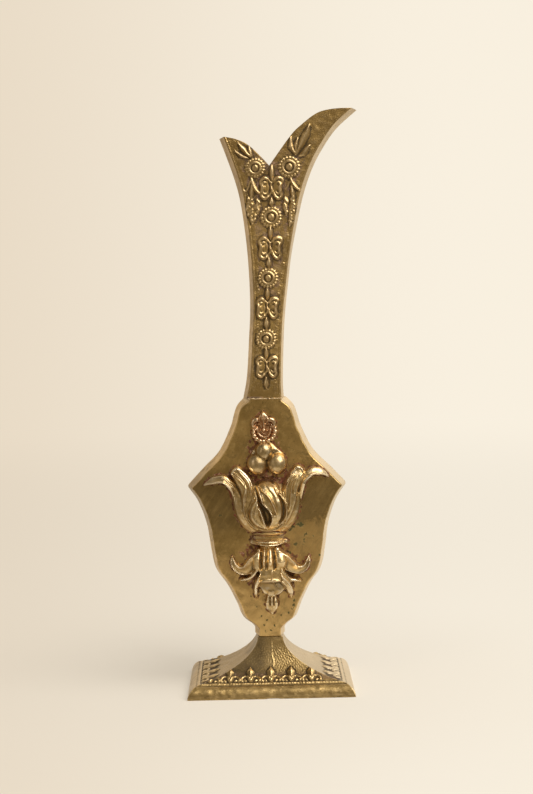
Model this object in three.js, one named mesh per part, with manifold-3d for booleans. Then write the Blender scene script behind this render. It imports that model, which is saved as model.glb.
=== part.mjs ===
// Brass vase: a flat bud vase with a swallowtail mouth, cast in front and back halves,
// with applied mounts on its shield-shaped body and a four-sided foot bolted on from below.
// Millimetres, +Z up. The front looks towards -Y and the taller horn points towards +X.
// The origin lies under the middle of the vase's own box, on the surface that it stands on.

import * as THREE from 'three';
import { mergeVertices } from 'three/addons/utils/BufferGeometryUtils.js';
import Module from 'manifold-3d';

const wasm = await Module();
wasm.setup();

// Clearances
const gap = 0.3;
const seatGap = 0.3;
const cutMargin = 3;

// Foot
const footWidth = 86;
const footDepth = 61.4;
const footHeight = 27.5;
const rimHeight = 6.4;
const rimInset = 4.9;
const rimFoot = 0.8;
const skirtSlopeRise = 6.4;
const footTopWidth = 13.2;
const footTopDepth = 21.6;
const footWall = 3;
const footRimWall = 4.2;
const footTopPlate = 9.5;
const skirtSteps = 9;

// Foot border: tall leaves between pairs of scrolls
const motifPitch = 10.8;
const motifLeafHeight = 7.2;
const motifLeafWidth = 3.6;
const motifRelief = 1.1;
const motifSink = 0.5;
const scrollSize = 3.6;
const motifShift = -2.9;
const borderMargin = 4;
const borderSlopeShare = 0.35;

// Body
const halfDepth = 11;
const stemHeight = 3.9;
const stemHalfWidth = 7.8;
const tipHeight = 106.4;
const tipHalfWidth = 41.8;
const jointRise = 45.6;
const bodySplay = 2.4;
const edgeChamfer = 0.6;
const bodyWall = 2.2;
const plateWall = 2.4;
const roofWall = 2.6;

// Neck: the right horn is the top of the vase, the left horn and the notch lie below it
const neckSplay = 2.1;
const neckWall = 1.8;
const rightHornReach = 50.3;
const rightHornHeight = 299.5;
const leftHornReach = 20.8;
const leftHornDrop = 13.4;
const notchX = 4.5;
const notchDrop = 28.3;
const mouthMargin = 20;

// Sleeve that joins the neck to the body
const sleeveHalfWidth = 6.8;
const sleeveHeight = 16;
const sleeveWall = 1.2;

// Stud, washer, nut and stem plug
const studRadius = 2.5;
const studTail = 2.2;
const studGrip = 8;
const washerRadius = 5;
const washerThickness = 1;
const nutFlats = 8;
const nutThickness = 4;
const plugHeight = 11;

// Rivets of the mounts
const rivetRadius = 1.2;
const rivetHeadRadius = 2.3;
const rivetHeadThickness = 1;
const rivetGrip = 3;
const palmetteGrip = 1.2;
const tulipRivetShare = 0.33;
const calyxRivetShare = 0.3;

// Mounts on the body: the collar lies below the body's tips and the berries above them
const mountLean = 0.0235;
const collarDrop = 28.4;
const collarHalfWidth = 8.9;
const collarThickness = 3.4;
const collarRelief = 7.6;
const collarLip = 0.6;
const mountNeckInset = 0.6;
const tulipSpread = 32.3;
const tulipHeight = 36.8;
const tulipRelief = 9;
const berryRadius = 5.1;
const topBerryRadius = 3.9;
const berryRise = 12.4;
const topBerryRise = 7.6;
const berrySpacing = 10.2;
const palmetteHalfWidth = 6.5;
const palmetteRise = 7.9;
const wreathRadius = 4.3;
const wreathTube = 1.3;
const wreathDrop = 2.4;
const palmetteRelief = 3;
const calyxSpread = 20.6;
const calyxHeight = 26.6;
const calyxRelief = 8;
const dropHalfWidth = 3.4;
const dropHalfHeight = 3.9;
const dropRelief = 4;

// Neck relief
const reliefSink = 0.4;
const rosetteRadius = 5.4;
const rosetteRelief = 1.3;
const bowHalfWidth = 3.1;
const bowHalfHeight = 4.8;
const bowRelief = 1.1;
const rosetteShares = [0.205, 0.412, 0.618];
const bowShares = [0.109, 0.31, 0.514, 0.716];
const hornRosetteShare = 0.784;
const hornRosetteSpread = 8.7;
const reliefShift = -0.4;

// Heights that follow from these
const jointHeight = tipHeight + jointRise;
const collarHeight = tipHeight - collarDrop;
const berryHeight = tipHeight + berryRise;
const leftHornHeight = rightHornHeight - leftHornDrop;
const notchHeight = rightHornHeight - notchDrop;
const hollowTop = footHeight - footTopPlate;

// Materials
function brass(colour, roughness) {
  return new THREE.MeshStandardMaterial({ color: colour, roughness, metalness: 1 });
}
const plateBrass = brass(0x8a7340, 0.45);
const castBrass = brass(0x937a45, 0.5);
const mountBrass = brass(0xb3924f, 0.35);
const copperBrass = brass(0xa5714a, 0.4);
const footBrass = brass(0x86703f, 0.5);
const hardwareBrass = brass(0xa8924f, 0.4);

// Solids from closed meshes and back
function toSolid(geometry) {
  const bare = geometry.clone();
  for (const name of Object.keys(bare.attributes)) {
    if (name !== 'position') bare.deleteAttribute(name);
  }
  const merged = mergeVertices(bare, 1e-4);
  const corners = merged.index.array;
  const kept = [];
  for (let i = 0; i < corners.length; i += 3) {
    const [a, b, c] = [corners[i], corners[i + 1], corners[i + 2]];
    if (a !== b && b !== c && c !== a) kept.push(a, b, c);
  }
  return new wasm.Manifold(new wasm.Mesh({
    numProp: 3,
    vertProperties: new Float32Array(merged.attributes.position.array),
    triVerts: new Uint32Array(kept),
  }));
}

function toGeometry(solid) {
  const mesh = solid.getMesh();
  const geometry = new THREE.BufferGeometry();
  geometry.setAttribute('position', new THREE.BufferAttribute(mesh.vertProperties, 3));
  geometry.setIndex(new THREE.BufferAttribute(mesh.triVerts, 1));
  geometry.computeVertexNormals();
  return geometry;
}

function join(geometries) {
  return geometries.map(toSolid).reduce((whole, solid) => whole.add(solid));
}

// A closed solid through a row of rings with as many points each. The end rings are capped
// flat, as fans where they are convex and otherwise as the first ring is, seen by flatten.
function loft(rings, flatten) {
  const size = rings[0].length;
  const points = rings.flat();
  const faces = [];
  for (let k = 0; k + 1 < rings.length; k += 1) {
    for (let i = 0; i < size; i += 1) {
      const a = k * size + i;
      const b = k * size + (i + 1) % size;
      faces.push([a, b, b + size], [a, b + size, a + size]);
    }
  }
  const capFaces = flatten
    ? THREE.ShapeUtils.triangulateShape(rings[0].map(flatten), [])
    : rings[0].slice(2).map((_, i) => [0, i + 1, i + 2]);
  const last = (rings.length - 1) * size;
  for (const [a, b, c] of capFaces) faces.push([a, c, b], [last + a, last + b, last + c]);
  const volume = faces.reduce((sum, [a, b, c]) => (
    sum + points[a].dot(new THREE.Vector3().crossVectors(points[b], points[c]))), 0);
  const geometry = new THREE.BufferGeometry().setFromPoints(points);
  geometry.setIndex(faces.flatMap(([a, b, c]) => (volume > 0 ? [a, b, c] : [a, c, b])));
  return geometry;
}

function cylinder(radius, low, high, sides = 16) {
  const geometry = new THREE.CylinderGeometry(radius, radius, high - low, sides);
  return geometry.rotateX(Math.PI / 2).translate(0, 0, (low + high) / 2);
}

function prism(points, low, high) {
  const shape = new THREE.Shape(points);
  const geometry = new THREE.ExtrudeGeometry(shape, { depth: high - low, bevelEnabled: false });
  return geometry.translate(0, 0, low);
}

function lathe(profile, sides) {
  const points = profile.map(([r, z]) => new THREE.Vector2(r, z));
  return new THREE.LatheGeometry(points, sides).rotateX(Math.PI / 2);
}

function smooth(points, count) {
  return new THREE.SplineCurve(points).getSpacedPoints(count);
}

function mirrored(geometry) {
  const copy = geometry.clone().scale(1, -1, 1);
  const corners = copy.index.array;
  for (let i = 0; i < corners.length; i += 3) {
    [corners[i], corners[i + 1]] = [corners[i + 1], corners[i]];
  }
  copy.computeVertexNormals();
  return copy;
}

// Outlines of the halves, seen from the front: a right side and a left side, both upwards
function inward(from, to) {
  const along = to.clone().sub(from).normalize();
  return new THREE.Vector2(-along.y, along.x);
}

const straightTurn = 0.02;

function outlineRing(outline, y, side, bottom = 0, top = 0) {
  const points = [...outline.right, ...outline.left.slice().reverse()];
  const count = points.length;
  const inset = (edge) => {
    if (edge === outline.right.length - 1) return top;
    return edge === count - 1 ? bottom : side;
  };
  return points.map((point, i) => {
    const before = (i + count - 1) % count;
    const n1 = inward(points[before], point);
    const n2 = inward(point, points[(i + 1) % count]);
    const [d1, d2] = [inset(before), inset(i)];
    const turn = n1.cross(n2);
    if (Math.abs(turn) < straightTurn) {
      return new THREE.Vector3(point.x + n2.x * d2, y, point.y + n2.y * d2);
    }
    const x = (d1 * n2.y - d2 * n1.y) / turn;
    const z = (d2 * n1.x - d1 * n2.x) / turn;
    return new THREE.Vector3(point.x + x, y, point.y + z);
  });
}

const frontView = (point) => new THREE.Vector2(point.x, point.z);

// The front half of a casting: full at the seam, drawn in by its splay at the face
function halfCasting(outline, splay) {
  return loft([
    outlineRing(outline, 0, 0),
    outlineRing(outline, edgeChamfer - halfDepth, splay),
    outlineRing(outline, -halfDepth, splay + edgeChamfer),
  ], frontView);
}

function halfHollow(outline, splay, wall, bottom, top) {
  const depth = halfDepth - plateWall;
  return loft([
    outlineRing(outline, cutMargin, wall, bottom, top),
    outlineRing(outline, 0, wall, bottom, top),
    outlineRing(outline, -depth, wall + splay * depth / halfDepth, bottom, top),
  ], frontView);
}

const stemFoot = footHeight + seatGap;
const stemTop = footHeight + stemHeight;

// Body side as shares of the tip's half width, and of the height from the stem to the tip
// and from the tip to the neck joint
const lowerSide = [
  [0.225, 0.018], [0.335, 0.07], [0.415, 0.178], [0.525, 0.3], [0.66, 0.414],
  [0.718, 0.56], [0.763, 0.727], [0.865, 0.888], [1, 1],
];
const upperSide = [
  [1, 0], [0.795, 0.199], [0.585, 0.399], [0.44, 0.67], [0.395, 0.81], [0.352, 0.915], [0.268, 1],
];

function bodyOutline() {
  const lower = lowerSide.map(([w, h]) => (
    new THREE.Vector2(w * tipHalfWidth, stemTop + h * (tipHeight - stemTop))));
  const upper = upperSide.map(([w, h]) => (
    new THREE.Vector2(w * tipHalfWidth, tipHeight + h * (jointHeight - tipHeight))));
  const right = [
    new THREE.Vector2(stemHalfWidth, stemFoot),
    new THREE.Vector2(stemHalfWidth, stemTop),
    ...smooth(lower, 22).slice(0, -1),
    ...smooth(upper, 14),
  ];
  return { right, left: right.map((point) => new THREE.Vector2(-point.x, point.y)) };
}

// Section of the stem and sleeve: six-sided, widest at the seam
function hexSection(halfWidth, splay, depth) {
  const narrow = halfWidth - splay;
  return [
    [halfWidth, 0], [narrow, depth], [-narrow, depth], [-halfWidth, 0], [-narrow, -depth], [narrow, -depth],
  ].map(([x, y]) => new THREE.Vector2(x, y));
}

const innerDepth = halfDepth - plateWall;
const sleeveDepth = innerDepth - gap;
const sleeveSection = (offset) => hexSection(
  sleeveHalfWidth + offset, neckSplay * sleeveDepth / halfDepth, sleeveDepth + offset);

const leanAt = (height) => -(height - collarHeight) * mountLean;
const berriesTop = berryHeight + topBerryRise + topBerryRadius;
const palmetteHeight = berriesTop + gap + wreathDrop + wreathRadius + wreathTube;
const tulipFoot = collarHeight + collarThickness / 2 + gap;
const calyxTop = collarHeight - collarThickness / 2 - gap;
const rivets = {
  palmette: { height: palmetteHeight, grip: palmetteGrip },
  tulip: { height: tulipFoot + tulipRivetShare * tulipHeight, grip: rivetGrip },
  calyx: { height: calyxTop - calyxRivetShare * calyxHeight, grip: rivetGrip },
};

// From the plane of a mount, with its relief along +Z, to the front of the body
function ontoFront(geometry, x, height, standOff = 0) {
  return geometry.clone().rotateX(Math.PI / 2).translate(x, -halfDepth - standOff, height);
}

function bodyHalf() {
  const outline = bodyOutline();
  let solid = toSolid(halfCasting(outline, bodySplay));
  solid = solid.subtract(toSolid(halfHollow(outline, bodySplay, bodyWall, -cutMargin, roofWall)));
  const passage = prism(sleeveSection(gap), jointHeight - roofWall - cutMargin, jointHeight + cutMargin);
  solid = solid.subtract(toSolid(passage));
  for (const { height } of Object.values(rivets)) {
    const hole = cylinder(rivetRadius + gap, -plateWall - cutMargin, cutMargin);
    solid = solid.subtract(toSolid(ontoFront(hole, leanAt(height), height)));
  }
  return toGeometry(solid);
}

// Neck sides as an x and a share of the height from the joint to the horn's tip
const neckFoot = jointHeight + seatGap;
const rightSide = [
  [9.8, 0], [9.5, 0.06], [10.3, 0.2], [11.4, 0.3], [13.4, 0.41], [15.4, 0.507], [18.9, 0.622],
  [22.5, 0.72], [27, 0.802], [31.9, 0.864], [39.5, 0.936],
];
const leftSide = [
  [11.3, 0], [9.2, 0.085], [7.7, 0.232], [6.8, 0.345], [7, 0.472], [8.1, 0.604], [10.5, 0.75],
  [13.4, 0.842], [17.5, 0.933],
];
// How far each side runs on past its horn, where the mouth cuts it off
const rightRunOn = new THREE.Vector2(12, 10);
const leftRunOn = new THREE.Vector2(-6, 17);

function neckOutline() {
  const rightSpan = rightHornHeight - neckFoot;
  const leftSpan = leftHornHeight - neckFoot;
  const right = rightSide.map(([x, h]) => new THREE.Vector2(x, neckFoot + h * rightSpan));
  const left = leftSide.map(([x, h]) => new THREE.Vector2(-x, neckFoot + h * leftSpan));
  const rightTip = new THREE.Vector2(rightHornReach, rightHornHeight);
  const leftTip = new THREE.Vector2(-leftHornReach, leftHornHeight);
  return {
    right: [...smooth([...right, rightTip], 24), rightTip.clone().add(rightRunOn)],
    left: [...smooth([...left, leftTip], 18), leftTip.clone().add(leftRunOn)],
  };
}

// All that lies above the mouth: from the left horn down to the notch and up the right horn
function mouthCutter() {
  const leftMouth = [[-0.88, 1], [-0.66, 0.92], [-0.42, 0.72], [-0.17, 0.32], [0, 0]];
  const rightMouth = [[0.24, 0.52], [0.36, 0.71], [0.54, 0.92], [0.71, 0.99], [0.86, 1]];
  const left = leftMouth.map(([s, h]) => new THREE.Vector2(
    notchX + s * (leftHornReach + notchX), notchHeight + h * (leftHornHeight - notchHeight)));
  const right = rightMouth.map(([s, h]) => new THREE.Vector2(
    notchX + s * (rightHornReach - notchX), notchHeight + h * (rightHornHeight - notchHeight)));
  const top = rightHornHeight + mouthMargin;
  const points = [
    new THREE.Vector2(-leftHornReach - mouthMargin, leftHornHeight),
    ...smooth(left, 9),
    ...smooth([left[left.length - 1], ...right], 12).slice(1),
    new THREE.Vector2(rightHornReach + mouthMargin, rightHornHeight),
    new THREE.Vector2(rightHornReach + mouthMargin, top),
    new THREE.Vector2(-leftHornReach - mouthMargin, top),
  ];
  return prism(points, -halfDepth - cutMargin, halfDepth + cutMargin).rotateX(Math.PI / 2);
}

function rosette() {
  const r = rosetteRadius;
  return lathe([
    [0, -reliefSink], [r, -reliefSink], [r, 0.5 * rosetteRelief], [0.75 * r, rosetteRelief],
    [0.5 * r, 0.35 * rosetteRelief], [0.25 * r, rosetteRelief], [0, rosetteRelief],
  ], 12);
}

function bow() {
  const eye = lathe([[0, -reliefSink], [1, -reliefSink], [0.86, bowRelief], [0.5, 0.7 * bowRelief],
    [0, 0.7 * bowRelief]], 9).scale(bowHalfWidth, bowHalfHeight, 1);
  return [-1, 1].map((side) => eye.clone().translate(side * bowHalfWidth * 1.02, 0, 0));
}

function centreOf(outline, height) {
  const at = (side) => side.reduce((best, point) => (
    Math.abs(point.y - height) < Math.abs(best.y - height) ? point : best)).x;
  return (at(outline.right) + at(outline.left)) / 2;
}

function neckHalf() {
  const outline = neckOutline();
  let solid = toSolid(halfCasting(outline, neckSplay));
  const place = (geometry, height, shift = 0) => toSolid(
    ontoFront(geometry, centreOf(outline, height) + reliefShift + shift, height));
  const heightAt = (share) => neckFoot + share * (rightHornHeight - neckFoot);
  for (const share of rosetteShares) solid = solid.add(place(rosette(), heightAt(share)));
  for (const share of bowShares) {
    for (const eye of bow()) solid = solid.add(place(eye, heightAt(share)));
  }
  for (const side of [-1, 1]) {
    solid = solid.add(place(rosette(), heightAt(hornRosetteShare), side * hornRosetteSpread));
  }
  solid = solid.subtract(toSolid(halfHollow(outline, neckSplay, neckWall, -cutMargin, -cutMargin)));
  solid = solid.subtract(toSolid(mouthCutter()));
  return toGeometry(solid);
}

// A leaf of a mount: along a spine in the plane of the mount, with a half width and a relief at
// each of its points, flat below and crowned above
function leaf(spine, halfWidths, reliefs, steps = 8) {
  const path = new THREE.SplineCurve(spine.map(([x, y]) => new THREE.Vector2(x, y)));
  const along = (values, u) => {
    const place = u * (values.length - 1);
    const low = Math.min(Math.floor(place), values.length - 2);
    return THREE.MathUtils.lerp(values[low], values[low + 1], place - low);
  };
  const rings = [];
  for (let i = 0; i <= steps; i += 1) {
    const u = i / steps;
    const point = path.getPoint(u);
    const ahead = path.getTangent(u);
    const w = along(halfWidths, u);
    const h = along(reliefs, u);
    const section = [[-1, 0], [1, 0], [0.82, 0.62], [0, 1], [-0.82, 0.62]];
    rings.push(section.map(([s, t]) => (
      new THREE.Vector3(point.x + s * w * ahead.y, point.y - s * w * ahead.x, t * h))));
  }
  return loft(rings);
}

function scaled(points, x, y) {
  return points.map(([a, b]) => [a * x, b * y]);
}

function blindHole(solid, y, grip) {
  const hole = cylinder(rivetRadius + gap, -cutMargin, grip + gap).translate(0, y, 0);
  return solid.subtract(toSolid(hole));
}

function tulip() {
  const [s, h, r] = [tulipSpread, tulipHeight, tulipRelief];
  const neck = collarHalfWidth - mountNeckInset;
  const bowl = leaf(
    scaled([[0, 0], [0, 0.12], [0, 0.3], [0, 0.52], [0, 0.68], [0, 0.79]], s, h),
    [neck, neck + 1, 0.44 * s, 0.48 * s, 0.4 * s, 0.16 * s],
    [0.65 * r, 0.75 * r, r, r, 0.75 * r, 0.4 * r]);
  const fold = leaf(
    scaled([[0.1, 0.14], [0.24, 0.35], [0.2, 0.55], [0.02, 0.7], [-0.17, 0.79]], s, h),
    [1.5, 4.4, 5.2, 4, 0.8],
    [r, 1.2 * r, 1.2 * r, 0.9 * r, 0.5 * r]);
  const pieces = [bowl, fold];
  for (const side of [-1, 1]) {
    const lift = side < 0 ? 0.95 : 1;
    const outer = leaf(
      scaled([
        [0.15, 0.1], [0.43, 0.29], [0.52, 0.5], [0.55, 0.72], [0.68, 0.87], [0.83, 0.88], [1, 0.81],
      ], side * s, h * lift),
      [3, 3.2, 2.6, 2.2, 1.8, 1.4, 0.5],
      [0.6 * r, 0.7 * r, 0.6 * r, 0.45 * r, 0.4 * r, 0.3 * r, 0.1 * r], 11);
    const inner = leaf(
      scaled([[0.25, 0.12], [0.4, 0.44], [0.44, 0.7], [0.5, 0.88], [0.58, 1]], side * s, h),
      [2.5, 3.2, 2.8, 2.2, 1.2],
      [0.8 * r, r, 0.75 * r, 0.5 * r, 0.25 * r]);
    const middle = leaf(
      scaled([[0.12, 0.16], [0.3, 0.48], [0.33, 0.68], [0.38, 0.84]], side * s, h),
      [2, 2.6, 2.2, 0.8],
      [r, 1.1 * r, 0.8 * r, 0.4 * r], 6);
    pieces.push(outer, inner, middle);
  }
  return blindHole(join(pieces), tulipRivetShare * h, rivetGrip);
}

function calyx() {
  const [s, h, r] = [calyxSpread, -calyxHeight, calyxRelief];
  const neck = collarHalfWidth - mountNeckInset;
  const bell = leaf(
    scaled([[0, 0], [0, 0.15], [0, 0.33], [0, 0.5], [0, 0.56]], s, h),
    [neck, neck + 0.6, 0.5 * s, 0.48 * s, 0.3 * s],
    [0.75 * r, 0.95 * r, r, r, 0.7 * r], 6);
  const tail = leaf(
    scaled([[0, 0.4], [0, 0.62], [0, 0.86], [0, 0.985]], s, h),
    [3.6, 5, 4, 1.6],
    [r, 0.9 * r, 0.6 * r, 0.4 * r], 5);
  const pieces = [bell, tail];
  for (const side of [-1, 1]) {
    const outer = leaf(
      scaled([[0.3, 0.2], [0.5, 0.41], [0.72, 0.52], [0.92, 0.45], [1, 0.22]], side * s, h),
      [3, 2.8, 2.3, 1.8, 0.5],
      [0.8 * r, 0.75 * r, 0.55 * r, 0.5 * r, 0.35 * r]);
    const lobe = leaf(
      scaled([[0.35, 0.34], [0.57, 0.54], [0.8, 0.67]], side * s, h),
      [2.6, 2, 0.7],
      [0.7 * r, 0.5 * r, 0.25 * r], 4);
    const front = leaf(
      scaled([[0.08, 0.42], [0.22, 0.6], [0.33, 0.8], [0.42, 1]], side * s, h),
      [3, 3.4, 2.3, 0.5],
      [r, 0.9 * r, 0.65 * r, 0.35 * r], 6);
    pieces.push(outer, lobe, front);
  }
  return blindHole(join(pieces), calyxRivetShare * h, rivetGrip);
}

function collar() {
  const steps = 10;
  const rings = [];
  for (let i = 0; i <= steps; i += 1) {
    const turn = Math.PI * (0.06 + 0.88 * i / steps);
    const x = -collarHalfWidth * Math.cos(turn);
    const reach = collarRelief * Math.sin(turn);
    const shoulder = Math.max(reach - collarLip, 0.2 * reach);
    const [a, b] = [collarThickness / 2, 0.35 * collarThickness];
    rings.push([[-a, 0], [a, 0], [a, shoulder], [b, reach], [-b, reach], [-a, shoulder]]
      .map(([y, z]) => new THREE.Vector3(x, y, z)));
  }
  return join([loft(rings)]);
}

function ball(radius, x, y, height) {
  return new THREE.SphereGeometry(radius, 12, 8).translate(x, y, height);
}

function berries() {
  const [side, r] = [berrySpacing / 2, berryRadius];
  const end = side + 1.2 * r;
  const backing = leaf(
    [[-end, -0.3 * r], [-side, 0], [0, 0.3 * r], [side, 0], [end, -0.3 * r]],
    [0.2 * r, 0.86 * r, 1.18 * r, 0.86 * r, 0.2 * r],
    [0.16 * r, 0.28 * r, 0.28 * r, 0.28 * r, 0.16 * r]);
  const upright = leaf(
    [[0, 0], [0, topBerryRise + 0.6 * topBerryRadius]], [r, 0.4 * r], [0.28 * r, 0.2 * r]);
  const whole = join([
    backing,
    upright,
    ball(r, -side, 0, 0.4 * r),
    ball(r, side, 0, 0.4 * r),
    ball(topBerryRadius, 0, topBerryRise, 0.5 * topBerryRadius),
  ]);
  const wide = 2 * (side + 2 * r);
  const below = new THREE.BoxGeometry(wide, wide, 2 * r).translate(0, 0, -r);
  return whole.subtract(toSolid(below));
}

function palmette() {
  const [w, h, r] = [palmetteHalfWidth, palmetteRise, palmetteRelief];
  const [inner, outer] = [wreathRadius - wreathTube, wreathRadius + wreathTube];
  const wreath = lathe([
    [inner, 0], [outer, 0], [outer, 0.5 * r], [wreathRadius, 0.85 * r], [inner, 0.5 * r], [inner, 0],
  ], 16).translate(0, -wreathDrop, 0);
  const boss = cylinder(wreathRadius, 0, 0.4 * r, 12).translate(0, -wreathDrop, 0);
  const upright = leaf(
    [[0, -wreathDrop], [0, 0.1 * h], [0, 0.6 * h], [0, h]],
    [0.18 * w, 0.18 * w, 0.32 * w, 0.05 * w],
    [r, r, r, 0.4 * r], 6);
  const pieces = [wreath, boss, upright];
  for (const side of [-1, 1]) {
    pieces.push(leaf(
      [[0, -0.2 * h], [side * 0.4 * w, 0.3 * h], [side * 0.75 * w, 0.5 * h], [side * 0.92 * w, 0.05 * h]],
      [0.15 * w, 0.25 * w, 0.3 * w, 0.08 * w],
      [r, r, 0.9 * r, 0.4 * r], 6));
  }
  return blindHole(join(pieces), 0, palmetteGrip);
}

function drop() {
  const [w, h, r] = [dropHalfWidth, dropHalfHeight, dropRelief];
  return join([leaf(
    [[0, h], [0, 0.3 * h], [0, -0.3 * h], [0, -h]],
    [0.45 * w, w, 0.9 * w, 0.1 * w],
    [0.5 * r, r, r, 0.3 * r], 7)]);
}

// Rivets point outwards through the plate, with their heads inside the body
function rivet(grip) {
  const inner = -plateWall - gap;
  const reach = seatGap + grip;
  return join([
    cylinder(rivetRadius, inner - rivetHeadThickness / 2, reach, 12),
    cylinder(rivetHeadRadius, inner - rivetHeadThickness, inner, 14),
  ]);
}

// Foot: rectangles at rising heights, with the hips straight in plan
function footRectangle(halfX, halfY, z) {
  return [[halfX, halfY], [-halfX, halfY], [-halfX, -halfY], [halfX, -halfY]]
    .map(([x, y]) => new THREE.Vector3(x, y, z));
}

function skirtPoint(t) {
  const low = { x: footWidth / 2 - rimInset, y: footDepth / 2 - rimInset };
  const curveRise = footHeight - rimHeight - skirtSlopeRise;
  return {
    x: THREE.MathUtils.lerp(low.x, footTopWidth / 2, t),
    y: THREE.MathUtils.lerp(low.y, footTopDepth / 2, t),
    z: rimHeight + skirtSlopeRise * t + curveRise * (1 - Math.sqrt(1 - t * t)),
  };
}

function footOutside() {
  const [halfX, halfY] = [footWidth / 2, footDepth / 2];
  const rings = [footRectangle(halfX, halfY, 0), footRectangle(halfX, halfY, rimFoot)];
  for (const [inset, rise] of [[0.22, 0.45], [0.6, 0.82], [1, 1]]) {
    const height = rimFoot + rise * (rimHeight - rimFoot);
    rings.push(footRectangle(halfX - inset * rimInset, halfY - inset * rimInset, height));
  }
  for (let i = 1; i <= skirtSteps; i += 1) {
    const { x, y, z } = skirtPoint(Math.sin(Math.PI / 2 * i / skirtSteps));
    rings.push(footRectangle(x, y, z));
  }
  return loft(rings);
}

function footHollow() {
  const [halfX, halfY] = [footWidth / 2 - footRimWall, footDepth / 2 - footRimWall];
  const rings = [footRectangle(halfX, halfY, -cutMargin), footRectangle(halfX, halfY, rimFoot)];
  for (let i = 0; i <= skirtSteps; i += 1) {
    const { x, y, z } = skirtPoint(Math.sin(Math.PI / 2 * i / skirtSteps));
    const height = Math.min(z - footWall, hollowTop);
    rings.push(footRectangle(x - footWall, y - footWall, height));
    if (height === hollowTop) break;
  }
  return loft(rings);
}

// One motif of the border, its foot on the rim, standing on the skirt of a side that faces -Y
function motif() {
  const [w, h, scroll] = [motifLeafWidth, motifLeafHeight, scrollSize / 2];
  const full = motifRelief + motifSink;
  const stem = leaf(
    [[0, 0.05 * h], [0, 0.5 * h], [0, h]], [0.25 * w, 0.5 * w, 0.06 * w], [full, full, 0.45 * full], 3);
  const curl = lathe([[0, 0], [1, 0], [0.75, full], [0, 0.85 * full]], 6).scale(scroll, scroll, 1);
  const reach = motifPitch / 4 + gap;
  return [
    stem.translate(0, 0, -motifSink),
    curl.clone().translate(-reach, scroll, -motifSink),
    curl.clone().translate(reach, scroll, -motifSink),
  ];
}

function border(width, depth, turn) {
  const count = Math.floor((width - 2 * rimInset - borderMargin) / motifPitch);
  const low = skirtPoint(0);
  const high = skirtPoint(borderSlopeShare);
  const run = Math.abs(turn % Math.PI) < 0.01 ? low.y - high.y : low.x - high.x;
  const tilt = Math.atan2(high.z - low.z, run);
  const solids = [];
  for (let i = 0; i < count; i += 1) {
    const along = (i - (count - 1) / 2) * motifPitch + motifShift;
    for (const piece of motif()) {
      piece.rotateX(tilt).translate(along, rimInset - depth / 2, rimHeight).rotateZ(turn);
      solids.push(toSolid(piece));
    }
  }
  return solids;
}

function foot() {
  let solid = toSolid(footOutside());
  for (const [width, depth, turn] of [
    [footWidth, footDepth, 0], [footDepth, footWidth, Math.PI / 2],
    [footWidth, footDepth, Math.PI], [footDepth, footWidth, -Math.PI / 2],
  ]) {
    for (const piece of border(width, depth, turn)) solid = solid.add(piece);
  }
  solid = solid.subtract(toSolid(footHollow()));
  solid = solid.subtract(toSolid(cylinder(studRadius + gap, -cutMargin, footHeight + cutMargin)));
  return toGeometry(solid);
}

function ring(outline, radius, low, high) {
  const bore = cylinder(radius + gap, low - cutMargin, high + cutMargin);
  return toGeometry(toSolid(prism(outline, low, high)).subtract(toSolid(bore)));
}

function circle(radius, sides) {
  return Array.from({ length: sides }, (_, i) => {
    const turn = 2 * Math.PI * i / sides;
    return new THREE.Vector2(radius * Math.cos(turn), radius * Math.sin(turn));
  });
}

function sleeve() {
  const low = jointHeight - sleeveHeight / 2;
  const high = jointHeight + sleeveHeight / 2;
  const bore = prism(sleeveSection(-sleeveWall), low - cutMargin, high + cutMargin);
  return toGeometry(toSolid(prism(sleeveSection(0), low, high)).subtract(toSolid(bore)));
}

function stemPlug() {
  const low = stemFoot + gap;
  const depth = innerDepth - gap;
  const section = hexSection(stemHalfWidth - bodyWall - gap, bodySplay * depth / halfDepth, depth);
  const bore = cylinder(studRadius + gap, low - cutMargin, low + studGrip + gap);
  return toGeometry(toSolid(prism(section, low, low + plugHeight)).subtract(toSolid(bore)));
}

// The vase, with its foot centred on its own axis
const vase = new THREE.Group();
const front = new THREE.Group();
const back = new THREE.Group();
back.rotation.z = Math.PI;
vase.add(front, back);

function add(parent, name, geometry, material) {
  const mesh = new THREE.Mesh(geometry, material);
  mesh.name = name;
  parent.add(mesh);
  return mesh;
}

add(vase, 'foot', foot(), footBrass);
const washerTop = hollowTop - gap;
const washerFoot = washerTop - washerThickness;
const nutTop = washerFoot - gap;
const nutFoot = nutTop - nutThickness;
const stud = cylinder(studRadius, nutFoot - studTail, stemFoot + gap + studGrip);
const nutOutline = circle(nutFlats / Math.sqrt(3), 6);
add(vase, 'foot_stud', toGeometry(toSolid(stud)), hardwareBrass);
add(vase, 'foot_washer', ring(circle(washerRadius, 20), studRadius, washerFoot, washerTop), hardwareBrass);
add(vase, 'foot_nut', ring(nutOutline, studRadius, nutFoot, nutTop), hardwareBrass);
add(vase, 'stem_plug', stemPlug(), hardwareBrass);

const body = bodyHalf();
const neck = neckHalf();
add(vase, 'neck_front', neck, castBrass);
add(vase, 'neck_back', mirrored(neck), castBrass);
add(vase, 'neck_sleeve', sleeve(), hardwareBrass);

const dropHeight = calyxTop - calyxHeight - gap - dropHalfHeight;
const mounts = [
  ['palmette', palmetteHeight, palmette(), copperBrass],
  ['berries', berryHeight, berries(), mountBrass],
  ['tulip', tulipFoot, tulip(), mountBrass],
  ['collar', collarHeight, collar(), mountBrass],
  ['calyx', calyxTop, calyx(), mountBrass],
  ['drop', dropHeight, drop(), mountBrass],
];

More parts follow.
